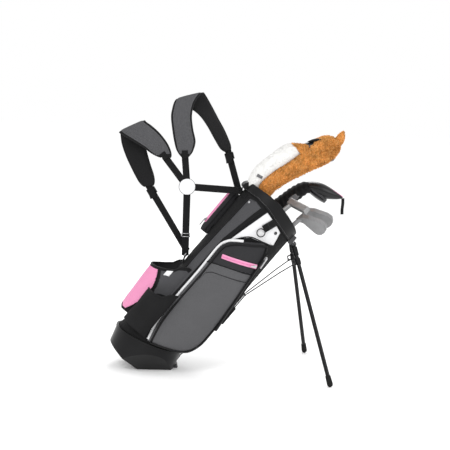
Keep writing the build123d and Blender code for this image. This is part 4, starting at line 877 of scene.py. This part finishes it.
def pad(name, rows, node):
    C = catmull([r[0] for r in rows], 7) / 1000.0
    W = catmull([r[1] for r in rows], 7) / 1000.0
    n = len(C)
    T = np.gradient(C, axis=0)
    cs = np.array([0.0] + list(np.cumsum(np.linalg.norm(np.diff(C, axis=0), axis=1))))
    # cross section: u from -1 to 1 across, outer then inner face
    us = np.concatenate([np.linspace(-1, 1, 17)])
    V, F, FM = [], [], []
    prof = []
    for u_ in us:
        prof.append((u_, 1))
    for u_ in us[::-1]:
        prof.append((u_, -1))
    m_ = len(prof)
    for i in range(n):
        w = W[i]
        hw = np.linalg.norm(w)
        wn = w / hw
        endd = min(cs[i], cs[-1] - cs[i])
        rnd = math.sqrt(max(0.0, 1 - max(0.0, 1 - endd / 0.020) ** 2)) * 0.42 + 0.58
        hw2 = hw * rnd - 0.0008
        nn = unit(np.cross(unit(T[i]), wn))
        for u_, sd in prof:
            e = 1 - abs(u_)
            th_ = 0.0014 + 0.0033 * (1 - math.exp(-e * 7.0)) - 0.0009 * math.exp(-((e - 0.16) / 0.035) ** 2)
            th_ += 0.0003 * smooth_noise(C[i] * 1000, 0.07, u_ * 2)
            V.append(C[i] + wn * u_ * hw2 - nn * sd * th_)
    for i in range(n - 1):
        for j in range(m_):
            k = (j + 1) % m_
            F.append((i * m_ + j, i * m_ + k, (i + 1) * m_ + k, (i + 1) * m_ + j))
            ua = (prof[j][0] + prof[k][0]) / 2
            endd = min(cs[i], cs[-1] - cs[i])
            outer = prof[j][1] > 0 and prof[k][1] > 0
            FM.append(1 if outer and abs(ua) < 0.82 and endd > 0.007 else 0)
    for i, rev in ((0, True), (n - 1, False)):
        idx = [i * m_ + j for j in range(m_)]
        F.append(tuple(reversed(idx)) if rev else tuple(idx)); FM.append(0)
    o = mesh(name, V, F, [BLACKF, HEATH], FM, True, "harness")
    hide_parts(node)
    for sd in (-1, 1):
        edge = []
        for i in range(n):
            w = W[i]; hw = np.linalg.norm(w)
            endd = min(cs[i], cs[-1] - cs[i])
            rnd = math.sqrt(max(0.0, 1 - max(0.0, 1 - endd / 0.020) ** 2)) * 0.42 + 0.58
            edge.append(C[i] + w / hw * sd * (hw * rnd - 0.0006))
        tube(name + ("_binding_a" if sd < 0 else "_binding_b"), edge, 0.0021, BLACKP, "harness")
        st = []
        for i in range(3, n - 3):
            w = W[i]; hw = np.linalg.norm(w); wn = w / hw
            nn = unit(np.cross(unit(T[i]), wn))
            st.append(C[i] + wn * sd * hw * 0.80 - nn * 0.0046)
        stitches(name + ("_stitch_a" if sd < 0 else "_stitch_b"), st, THREAD, body="harness")
    return o, C, W


padl, CL, WL = pad("left_pad", PAD_LEFT, "strap_pad_left")
padr, CR, WR = pad("right_pad", PAD_RIGHT, "strap_pad_right")


def web(name, pts, half_w, wdirs, t=0.0012, body="harness", slot="webbing", sag=0.0, k=8, mat_=None):
    P = catmull(pts, k)
    n = len(P)
    if sag:
        for i in range(n):
            u_ = i / (n - 1)
            P[i] = P[i] + np.array([0, 0, -sag * 4 * u_ * (1 - u_)])
    wd = catmull(wdirs, k) if len(wdirs) == len(pts) else np.array([wdirs[0]] * n)
    T = np.gradient(P, axis=0)
    W = []
    for i in range(n):
        tt = unit(T[i])
        w = wd[i] - tt * np.dot(wd[i], tt)
        W.append(unit(w))
    return sweep(name, P, W, [half_w] * n, [t] * n, mat_ or WEB, 7.0, 24, body)


HUB = mm((72.9, -8.0, 531.1))


def perp(a, b):
    return unit(np.cross(unit(b - a), [0, 1.0, 0]))


def straight(name, a, b, hw=0.0100, bend=0.0, **k):
    mid = (a + b) / 2 + np.array([0, bend, 0])
    w = perp(a, b)
    return web(name, [a, mid, b], hw, [w, w, w], **k)


LOW_END, LOW_END_L = at(-149, -4, 316), at(-149, 5, 322)
TOP_END, TOP_END_R = at(-148.5, -12, 550), at(-149, 12, 555)
pl0, pr0, pl1, pr1 = mm(PAD_LEFT[0][0]), mm(PAD_RIGHT[0][0]), mm(PAD_LEFT[-1][0]), mm(PAD_RIGHT[-1][0])
dL, dR = unit(mm(PAD_LEFT[1][0]) - pl0), unit(mm(PAD_RIGHT[1][0]) - pr0)
w1 = straight("pad_web_left", HUB + unit(pl0 - HUB) * 0.014 + mm((0, 1.5, 0)), pl0 + dL * 0.004 + mm((0, -2, 0)), 0.0098)
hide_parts("pad_webbing")
straight("pad_web_right", HUB + unit(pr0 - HUB) * 0.014 + mm((0, 1.5, 0)), pr0 + dR * 0.004 + mm((0, -2, 0)), 0.0098)
# short reinforcing ends, sewn on the pads
straight("pad_web_left_end", pl0 - dL * 0.004 + mm((0, -5.6, 0)), pl0 + dL * 0.017 + mm((0, -5.8, 0)), 0.0085, t=0.0011)
straight("pad_web_right_end", pr0 - dR * 0.004 + mm((0, -5.6, 0)), pr0 + dR * 0.019 + mm((0, -5.8, 0)), 0.0085, t=0.0011)
w2 = straight("hub_web_low", HUB + unit(LOW_END - HUB) * 0.014 + mm((0, 1.5, 0)), LOW_END + unit(LOW_END - HUB) * 0.010, 0.0102)
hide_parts("hub_webbing")
straight("hub_web_top", HUB + unit(TOP_END - HUB) * 0.014 + mm((0, 1.5, 0)), TOP_END + unit(TOP_END - HUB) * 0.014, 0.0102)
w3 = straight("adjust_web_left", pl1 - unit(LOW_END_L - pl1) * 0.010, LOW_END_L + unit(LOW_END_L - pl1) * 0.004, 0.0096, bend=0.004)
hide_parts("adjuster_webbing")
straight("adjust_web_right", pr1 - unit(TOP_END_R - pr1) * 0.008, TOP_END_R + unit(TOP_END_R - pr1) * 0.006, 0.0096, bend=0.004)
# slider bar on the lower hub strap
lb = HUB + (LOW_END - HUB) * 0.74


def frame_bars(name, c, t, w, nn, hw, hl, r, mat_, body, node=None, bars=(-1, 0, 1)):
    """Ladder buckle of round-edged bars."""
    V, F = [], []

    def bar(a, b, rr):
        d = unit(b - a); u_ = unit(np.cross(d, nn)); v_ = nn
        o = len(V)
        for q in (a, b):
            for j in range(8):
                an_ = 2 * math.pi * j / 8
                V.append(q + u_ * rr * math.cos(an_) + v_ * rr * 0.9 * math.sin(an_))
        for j in range(8):
            k = (j + 1) % 8
            F.append((o + j, o + k, o + 8 + k, o + 8 + j))
        F.append(tuple(o + j for j in range(7, -1, -1)))
        F.append(tuple(o + 8 + j for j in range(8)))
    for sd in (-1, 1):
        bar(c + w * sd * hw - t * (hl + r), c + w * sd * hw + t * (hl + r), r * 1.2)
    for b_ in bars:
        bar(c - w * hw + t * b_ * hl, c + w * hw + t * b_ * hl, r)
    o = mesh(name, V, F, mat_, None, True, body)
    if node:
        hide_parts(node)
    return o


for nm, a, b, nd in (("left", pl1, LOW_END_L, "strap_adjusters"), ("right", pr1, TOP_END_R, None)):
    d = unit(b - a)
    w = perp(a, b)
    frame_bars("adjuster_" + nm, a + d * 0.017, d, w, unit(np.cross(d, w)), 0.0112, 0.0085, 0.0017, BLKPL, "harness", nd)
    # loose tail of the adjuster webbing
    web("adjuster_tail_" + nm, [a + d * 0.010 + w * 0.001, a + d * 0.024 + w * (-0.004) + mm((0, -4, 0)), a + d * 0.036 + w * (-0.006) + mm((0, -5, 0))], 0.0088, [w, w, w], 0.0010)
d = unit(LOW_END - HUB)
frame_bars("hub_strap_slider", lb + mm((0, -1.5, 0)), d, perp(HUB, LOW_END), np.array([0, -1.0, 0]), 0.0118, 0.0045, 0.0012, STEEL, "harness", None, (-1, 1))


def tab(name, pts, hw, w, t, mat_, body, node=None, slot="webbing"):
    o = web(name, pts, hw, [w] * len(pts), t, body, slot, mat_=mat_)
    if node:
        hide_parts(node)
    return o


# anchors sewn to the bag
tab("lower_anchor_tab", [at(-135.2, 0, 286), at(-138.0, 0, 296), at(-141.0, 0, 309), at(-138.4, 0, 312)], 0.012, np.array([0, 1.0, 0]), 0.0014, WEB, "bag", "lower_anchor")
frame_bars("lower_anchor_ring", at(-145.2, 0, 310), unit(at(0, 0, 1)), np.array([0, 1.0, 0]), unit(at(-1, 0, 0)), 0.0125, 0.0045, 0.0015, STEEL, "bag", None, (-1, 1))
V, F = [], []
ta = []
for s in np.linspace(544.5, 558.5, 5):
    for y in np.linspace(-46, 36, 22):
        r = 97.5 + 2.6 * math.exp(-(y / 40.0) ** 4)
        n = NC - math.sqrt(max(r * r - y * y, 0))
        V.append(at(n, y, s))
for s in np.linspace(544.5, 558.5, 5):
    for y in np.linspace(-46, 36, 22):
        n = NC - math.sqrt(97.2 ** 2 - y * y)
        V.append(at(n, y, s))
for i in range(4):
    for j in range(21):
        a = i * 22 + j
        F.append((a, a + 1, a + 23, a + 22))
        F.append((110 + a, 110 + a + 22, 110 + a + 23, 110 + a + 1))
for i in range(4):
    for j in (0, 21):
        a = i * 22 + j
        F.append((a, a + 22, 110 + a + 22, 110 + a))
for j in range(21):
    for i in (0, 4):
        a = i * 22 + j
        F.append((a, a + 1, 110 + a + 1, 110 + a))
o = mesh("top_anchor_tab", V, F, [WEB], None, True, "bag")
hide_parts("top_anchor")
# towel loop: webbing folded round the ring
la, lb_ = at(-20.5, -102.4, 553), at(-33.5, -101.2, 518)
ld = unit(lb_ - la)
no = np.array([0, -1.0, 0])
tl_o = tab("towel_loop_webbing", [la + mm((0, 1.8, 0)), la * 0.5 + lb_ * 0.5 + mm((0, 0.4, 0)), lb_ + mm((0, -1.2, 0)), lb_ + ld * 0.001 + mm((0, 1.2, 0))], 0.0108, np.cross(ld, no), 0.0011, WEB, "bag", "towel_loop")
stitches("towel_loop_stitch", [la * (1 - t) + lb_ * t + mm((0, -0.9, 0)) + np.cross(ld, no) * (0.008 * q) for q in (-1, 1) for t in (np.linspace(0.1, 0.6, 10) if q < 0 else np.linspace(0.6, 0.1, 10))], THREAD)

# ------------------------------------------------------------ club divider
for i, (n, y0, y1) in enumerate(((-61, -88, 88), (16, -73, 73))):
    P = [at(n, y, 557.5) for y in np.linspace(y0, y1, 16)]
    o = sweep("divider_bar_%d" % i, P, [unit(at(1, 0, 0))] * 16, [0.0042] * 16, [0.0096] * 16, BLACKF, 4.0, 20, "bag")
    if i == 0:
        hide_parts("club_divider")
P = [at(n, 0, 557.5) for n in np.linspace(-60, 15, 12)]
sweep("divider_cross", P, [np.array([0, 1.0, 0])] * 12, [0.0042] * 12, [0.0092] * 12, BLACKF, 4.0, 20, "bag")


# ------------------------------------------------------------- plush cover
def blob(name, rows, mat_, yscale=1.0, body="plush_cover", disp=0.0, k=8, nseg=40):
    C = catmull([r[0] for r in rows], k) / 1000.0
    R = catmull([[r[1], 0, 0] for r in rows], k)[:, 0] / 1000.0
    n = len(C)
    # round off the two ends
    W, ws, hs = [], [], []
    T = np.gradient(C, axis=0)
    for i in range(n):
        W.append(np.array([0, 1.0, 0]))
        ws.append(max(R[i], 0.0004) * yscale)
        hs.append(max(R[i], 0.0004))
    f = (lambda p: disp * smooth_noise(p * 1000, 0.22, 1.0) + disp * 0.6 * smooth_noise(p * 1000, 0.55, 3.0)) if disp else None
    return sweep(name, C, W, ws, hs, mat_, 2.0, nseg, body, disp=f)


def fur(name, src, mat_list, length, count, seed, lean, body="plush_cover", pick=None, width=0.0011):
    """Small tapered tufts over a mesh, combed along lean."""
    r_ = np.random.default_rng(seed)
    me = src.data
    nv = len(me.vertices)
    co = np.empty(nv * 3); me.vertices.foreach_get("co", co); co = co.reshape(-1, 3)
    tris, nors, ar = [], [], []
    for p in me.polygons:
        v = list(p.vertices)
        for q in range(1, len(v) - 1):
            tri = co[[v[0], v[q], v[q + 1]]]
            a = np.linalg.norm(np.cross(tri[1] - tri[0], tri[2] - tri[0])) / 2
            tris.append(tri); nors.append(np.array(p.normal)); ar.append(a)
    ar = np.array(ar)
    idx = r_.choice(len(tris), count, p=ar / ar.sum())
    V, F, FM = [], [], []
    for i in idx:
        tri, nn = tris[i], nors[i]
        u_, v_ = r_.random(2)
        if u_ + v_ > 1:
            u_, v_ = 1 - u_, 1 - v_
        p = tri[0] + (tri[1] - tri[0]) * u_ + (tri[2] - tri[0]) * v_
        ln = length * (0.6 + 0.7 * r_.random())
        jit = r_.normal(size=3) * 0.35
        d = unit(nn * 0.55 + np.array(lean) * 0.8 + jit)
        t1 = unit(np.cross(d, nn + 1e-6))
        t2 = np.cross(d, t1)
        w = width * (0.7 + 0.6 * r_.random())
        o = len(V)
        base = p - nn * 0.0006
        for j in range(3):
            an_ = 2 * math.pi * j / 3
            V.append(base + (t1 * math.cos(an_) + t2 * math.sin(an_)) * w)
        mid_ = base + d * ln * 0.6 + nn * 0.0004
        for j in range(3):
            an_ = 2 * math.pi * j / 3
            V.append(mid_ + (t1 * math.cos(an_) + t2 * math.sin(an_)) * w * 0.55)
        V.append(base + d * ln - nn * ln * 0.12)
        mi = pick(p, r_) if pick else 0
        for j in range(3):
            k = (j + 1) % 3
            F.append((o + j, o + k, o + 3 + k, o + 3 + j)); FM.append(mi)
            F.append((o + 3 + j, o + 3 + k, o + 6)); FM.append(mi)
        F.append((o + 2, o + 1, o)); FM.append(mi)
    return mesh(name, V, F, mat_list, FM, True, body)


FURL = material("light_brown_plush", (0.80, 0.42, 0.14), 0.85, "fur", vary=0.25, bump=0.5, spec=0.15)
BROWN = [((283.0, -18, 508.0), 15.0), ((288.6, -18, 519.3), 19.5), ((304.6, -18, 545.9), 23.6), ((326.8, -18, 565.6), 25.0), ((354.8, -18, 584.0), 25.2), ((385.7, -18, 602.6), 26.6),
         ((413.7, -18, 622.4), 30.5), ((438.9, -18, 639.3), 35.4), ((464.1, -18, 655.6), 35.6), ((482.8, -18, 665.0), 29.5), ((496.0, -18, 671.0), 18.0), ((504.0, -18, 675.0), 2.0)]
WHITE_B = [((255.0, -18, 527.0), 9.0), ((261.5, -18, 538.5), 15.7), ((269.0, -18, 561.9), 20.5), ((285.3, -18, 582.7), 23.4), ((307.4, -18, 602.3), 24.2), ((332.4, -18, 622.0), 25.0),
           ((357.6, -18, 640.9), 25.0), ((380.2, -18, 650.4), 20.4), ((400.2, -18, 654.5), 13.4), ((412.0, -18, 655), 2.0)]
TIP = [((489.1, -18, 664.0), 7.0), ((498.1, -18, 672.0), 10.2), ((504.7, -18, 682.3), 11.6), ((509.7, -18, 694.4), 8.9), ((513.6, -18, 704.5), 3.8), ((515.0, -18, 709.0), 0.5)]
EAR = [((408.6, -36, 650.0), 14.0), ((400.6, -38, 653.8), 15.0), ((388.8, -38, 659.0), 10.6), ((376.9, -36, 665.0), 5.4), ((364.6, -36, 669.7), 0.5)]
brown = blob("plush_body", BROWN, FUR, 1.18, disp=0.0012)
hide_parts("driver_cover")
white = blob("plush_front", WHITE_B, WFUR, 1.05, disp=0.0005)
tipo = blob("plush_tail_tip", TIP, FUR, 0.9, disp=0.0006)
ear = blob("plush_ear", EAR, FUR, 0.45, disp=0.0004)
lean = unit([0.7, 0, 0.55])


def pick(p, r_):
    x, y, z = p * 1000
    dk = math.exp(-(((x - 476) / 24) ** 2 + ((z - 660) / 20) ** 2))
    q = r_.random()
    t = 0.5 + 0.5 * smooth_noise(p * 1000, 0.09, 6.0)
    if q < 0.25 * dk + 0.10 * (1 - t):
        return 1
    if q > 0.72 - 0.2 * t + 0.2 * dk:
        return 2
    return 0


fur("plush_body_pile", brown, [FUR, FURD, FURL], 0.0066, 17000, 11, lean, pick=pick)
fur("plush_tail_pile", tipo, [FUR, FURD, FURL], 0.0045, 1800, 12, unit([0.2, 0, 0.9]), pick=pick)
fur("plush_ear_pile", ear, [FUR, FURD, FURL], 0.0038, 1500, 13, unit([-0.9, 0, 0.3]), pick=pick, width=0.0009)
fur("plush_front_pile", white, [WFUR], 0.0028, 6000, 14, unit([0.6, 0, 0.6]), width=0.0009)
st = [((408.9, -30, 674.5), 0.6), ((421.3, -30, 678.5), 3.4), ((435.7, -30, 681.8), 4.2), ((450.2, -30, 681.5), 3.4), ((464.0, -30, 678.6), 0.5)]
blob("plush_nose_strip", st, BLACKF, 2.4, nseg=16)
# small sewn tag on the front
tc_ = mm((276.5, -41.5, 572.0))
tg = sweep("plush_tag", [tc_ + mm((-7.5, -0.5, 3.8)), tc_, tc_ + mm((7.5, 0, -3.8))], [unit([0.45, 0, 0.9])] * 3, [0.0042] * 3, [0.0008] * 3, SILVER, 6.0, 12, "plush_cover")
# rows for a knitted neck of the cover, inside the mouth; no mesh is built from them
NECK = [((252.0, -16, 470.0), 24.0), ((266.0, -17, 492.0), 25.0), ((278.0, -18, 512.0), 24.0), ((288.0, -18, 526.0), 21.0)]

# ------------------------------------------------------- hybrid head cover
SLEEVE = [((345.1, 50, 475.0), 21.5), ((352.0, 50, 481.0), 22.4), ((363.6, 50, 490.6), 22.3), ((383.5, 50, 507.7), 21.7), ((403.5, 50, 523.3), 20.6), ((420.9, 50, 533.4), 18.8), ((435.6, 50, 537.0), 16.0), ((442.0, 50, 537.5), 10.0)]
HEADC = [((424.0, 50, 537.2), 9.0), ((428.6, 50, 537.0), 14.3), ((444.6, 50, 536.4), 18.2), ((465.9, 50, 530.8), 20.8), ((487.3, 50, 523.6), 18.9), ((508.7, 50, 517.2), 13.6), ((527.0, 50, 512.1), 7.4), ((537.5, 50, 509.9), 2.4)]


def fold_disp(p):
    q = p * 1000
    return 0.0010 * math.sin(q[0] * 0.33 + q[2] * 0.21 + 1.5 * math.sin(q[1] * 0.1)) + 0.0005 * smooth_noise(q, 0.12)


def hyb(name, rows, mat_, ys, f):
    C = catmull([r[0] for r in rows], 8) / 1000.0
    R = catmull([[r[1], 0, 0] for r in rows], 8)[:, 0] / 1000.0
    n = len(C)
    return sweep(name, C, [np.array([0, 1.0, 0])] * n, [max(r, 4e-4) * ys for r in R], [max(r, 4e-4) for r in R], mat_, 2.3, 40, "sock_cover", disp=f)


sl_o = hyb("sock_sleeve", SLEEVE, BLACKF, 1.12, fold_disp)
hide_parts("hybrid_cover")
hd_o = hyb("sock_head", HEADC, VINYL, 1.15, None)
hp = catmull([r[0] for r in HEADC[1:]], 6) / 1000.0
hr = catmull([[r[1], 0, 0] for r in HEADC[1:]], 6)[:, 0] / 1000.0
up_ = np.array([0.34, 0, 0.94])
for sd, nm in ((-1, "near"), (1, "far")):
    P = [hp[i] + unit(up_) * hr[i] * 0.86 + np.array([0, sd * hr[i] * 0.5, 0]) for i in range(len(hp))]
    tube("sock_piping_" + nm, P, 0.0011, PINKT, "sock_cover", 6)
P = [hp[i] - np.array([0, hr[i] * 1.15, 0]) * 0.99 + unit(up_) * hr[i] * 0.1 for i in range(len(hp))]
tube("sock_seam_near", P, 0.0008, BLACKP, "sock_cover", 6)
tube("sock_throat_binding", [np.array([0.4355, 0.050, 0.5370]) + (np.array([0, 1.0, 0]) * math.cos(a) * 0.0186 + unit([-0.62, 0, 0.78]) * math.sin(a) * 0.0166) for a in np.linspace(0, 2 * math.pi, 40)], 0.0014, BLACKP, "sock_cover", 6)
tube("sock_mouth_rib", [np.array([0.3480, 0.050, 0.4775]) + (np.array([0, 1.0, 0]) * math.cos(a) * 0.0242 + unit([-0.62, 0, 0.78]) * math.sin(a) * 0.0218) for a in np.linspace(0, 2 * math.pi, 48)], 0.0018, BLACKP, "sock_cover", 6)
# grey patch along the sleeve's near side
C_ = np.array([0.3865, 0.050 - 0.0243, 0.5050])
sweep("sock_patch", [C_ + mm((-15, 1.5, -12)), C_ + mm((-7, -0.4, -6)), C_, C_ + mm((8, -0.2, 6)), C_ + mm((15, 2.2, 11))], [unit([-0.6, 0, 0.8])] * 5, [0.006, 0.0085, 0.009, 0.0085, 0.006], [0.0010] * 5, SILVER, 3.0, 16, "sock_cover")
# pull tag, one soft strip
o = web("sock_pull_tag", [mm((538.9, 50, 508)), mm((539.6, 50, 492)), mm((538.6, 50, 475)), mm((539.2, 50, 460))], 0.0052, [np.array([0.95, 0.45, 0])] * 4, 0.0010, "sock_cover", "webbing", mat_=WEB)
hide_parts("cover_tag")

# --------------------------------------------------- materials on CAD nodes
node_mats = {
    "base_cup": CUPPL, "base_actuator": GREYPL, "actuator_pin": STEEL, "actuator_rod": WIRE, "push_wire_near": WIRE, "push_wire_far": WIRE,
    "rod_guide": BLKPL, "top_collar": BLKPL, "side_slider": STEEL, "valuables_slider": STEEL, "spine_slider": STEEL, "towel_ring": BLKPL,
    "leg_bracket": GREYPL, "pivot_pins": STEEL, "bracket_rivets": STEEL, "leg_near": LEG, "leg_far": LEG, "leg_yoke_near": BLKPL, "leg_yoke_far": BLKPL,
    "foot_near": FOOT, "foot_far": FOOT, "wire_clip_near": BLKPL, "wire_clip_far": BLKPL, "strap_hub": WHTPL,
    "driver_shaft": SHAFT, "driver_grip": GRIP, "driver_head": HEADP, "hybrid_shaft": SHAFT, "hybrid_grip": GRIP, "hybrid_head": HEADP,
    "putter_shaft": STEEL, "putter_grip": GRIP, "putter_head": CLUB, "long_iron_shaft": STEEL, "long_iron_grip": GRIP, "long_iron_head": FACE,
    "short_iron_shaft": STEEL, "short_iron_grip": GRIP, "short_iron_head": FACE}
for name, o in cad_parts.items():
    m_ = node_mats.get(name, BLKPL)
    o.data.materials.clear()
    o.data.materials.append(m_)

# black rim round the white hub disc
tube("hub_rim", [HUB + mm((0, -0.5, 0)) + np.array([math.cos(a), 0, math.sin(a)]) * 0.0228 for a in np.linspace(0, 2 * math.pi, 60)], 0.0014, GREYPL, "harness", 8)
# collar stitch line and padded lip round the mouth
UPPER = [(-160, 586), (-136, 590), (-90, 595), (-47, 596), (-2, 585), (38, 573), (64, 561), (90, 548)]
lip = []
for ph in np.linspace(0, 2 * math.pi, 100):
    n = NC + 97.8 * math.cos(ph)
    s = float(np.interp(n, [p[0] for p in UPPER], [p[1] for p in UPPER]))
    lip.append(at(n, 97.8 * math.sin(ph), s - 0.8))
tube("collar_lip", lip, 0.0036, BLKPL, "bag", 10)
stc = []
for ph in np.linspace(math.radians(-175), math.radians(-5), 120):
    n = NC + 101.9 * math.cos(ph)
    s = float(np.interp(n, [p[0] for p in LOWER], [p[1] for p in LOWER])) + 4
    stc.append(at(n, 101.9 * math.sin(ph), s))
stitches("collar_stitch", stc, THREAD)

# ------------------------------------------------------------------- stage
def plane(name, size, z, mat_):
    me = bpy.data.meshes.new(name)
    me.from_pydata([(-size, -size, z), (size, -size, z), (size, size, z), (-size, size, z)], [], [(0, 1, 2, 3)])
    me.materials.append(mat_)
    o = bpy.data.objects.new(name, me)
    bpy.context.scene.collection.objects.link(o)
    return o


fm_ = bpy.data.materials.new("studio_floor")
fm_.use_nodes = True
fb = fm_.node_tree.nodes["Principled BSDF"]
fb.inputs["Base Color"].default_value = (0.93, 0.93, 0.93, 1)
fb.inputs["Roughness"].default_value = 0.9
fb.inputs["Specular IOR Level"].default_value = 0.1
fb.inputs["Emission Color"].default_value = (1, 1, 1, 1)
fb.inputs["Emission Strength"].default_value = 0.09
plane("studio_floor", 14.0, -0.0005, fm_)

w = bpy.data.worlds.new("studio")
bpy.context.scene.world = w
w.use_nodes = True
w.node_tree.nodes["Background"].inputs["Color"].default_value = (1, 1, 1, 1)
w.node_tree.nodes["Background"].inputs["Strength"].default_value = 1.0


def area(name, loc, target, size, power):
    ld_ = bpy.data.lights.new(name, "AREA")
    ld_.energy = power
    ld_.shape = "DISK"
    ld_.size = size
    o = bpy.data.objects.new(name, ld_)
    bpy.context.scene.collection.objects.link(o)
    o.location = loc
    o.rotation_mode = "QUATERNION"
    o.rotation_quaternion = (Vector(target) - Vector(loc)).to_track_quat("-Z", "Y")
    return o


area("key", (-1.2, -2.4, 2.6), (0.2, 0, 0.35), 1.6, 42)
area("fill", (2.2, -1.6, 1.3), (0.2, 0, 0.35), 1.6, 16)
area("rim", (0.6, 2.2, 2.2), (0.2, 0, 0.4), 1.4, 30)

cam = bpy.data.cameras.new("camera")
cam.lens = 84.795
cam.sensor_width = 36.0
cam.clip_start, cam.clip_end = 0.05, 60.0
co = bpy.data.objects.new("camera", cam)
bpy.context.scene.collection.objects.link(co)
R_ = Vector((0.99542712, -0.08322959, 0.04687954))
U_ = Vector((-0.03472544, 0.14189651, 0.98927222))
B_ = R_.cross(U_)
m_ = Matrix(((R_[0], U_[0], B_[0], -0.0859026), (R_[1], U_[1], B_[1], -3.03195954), (R_[2], U_[2], B_[2], 0.84821892), (0, 0, 0, 1)))
co.matrix_world = m_
bpy.context.scene.camera = co
bpy.context.scene.view_settings.view_transform = "Standard"

bpy.context.view_layer.update()
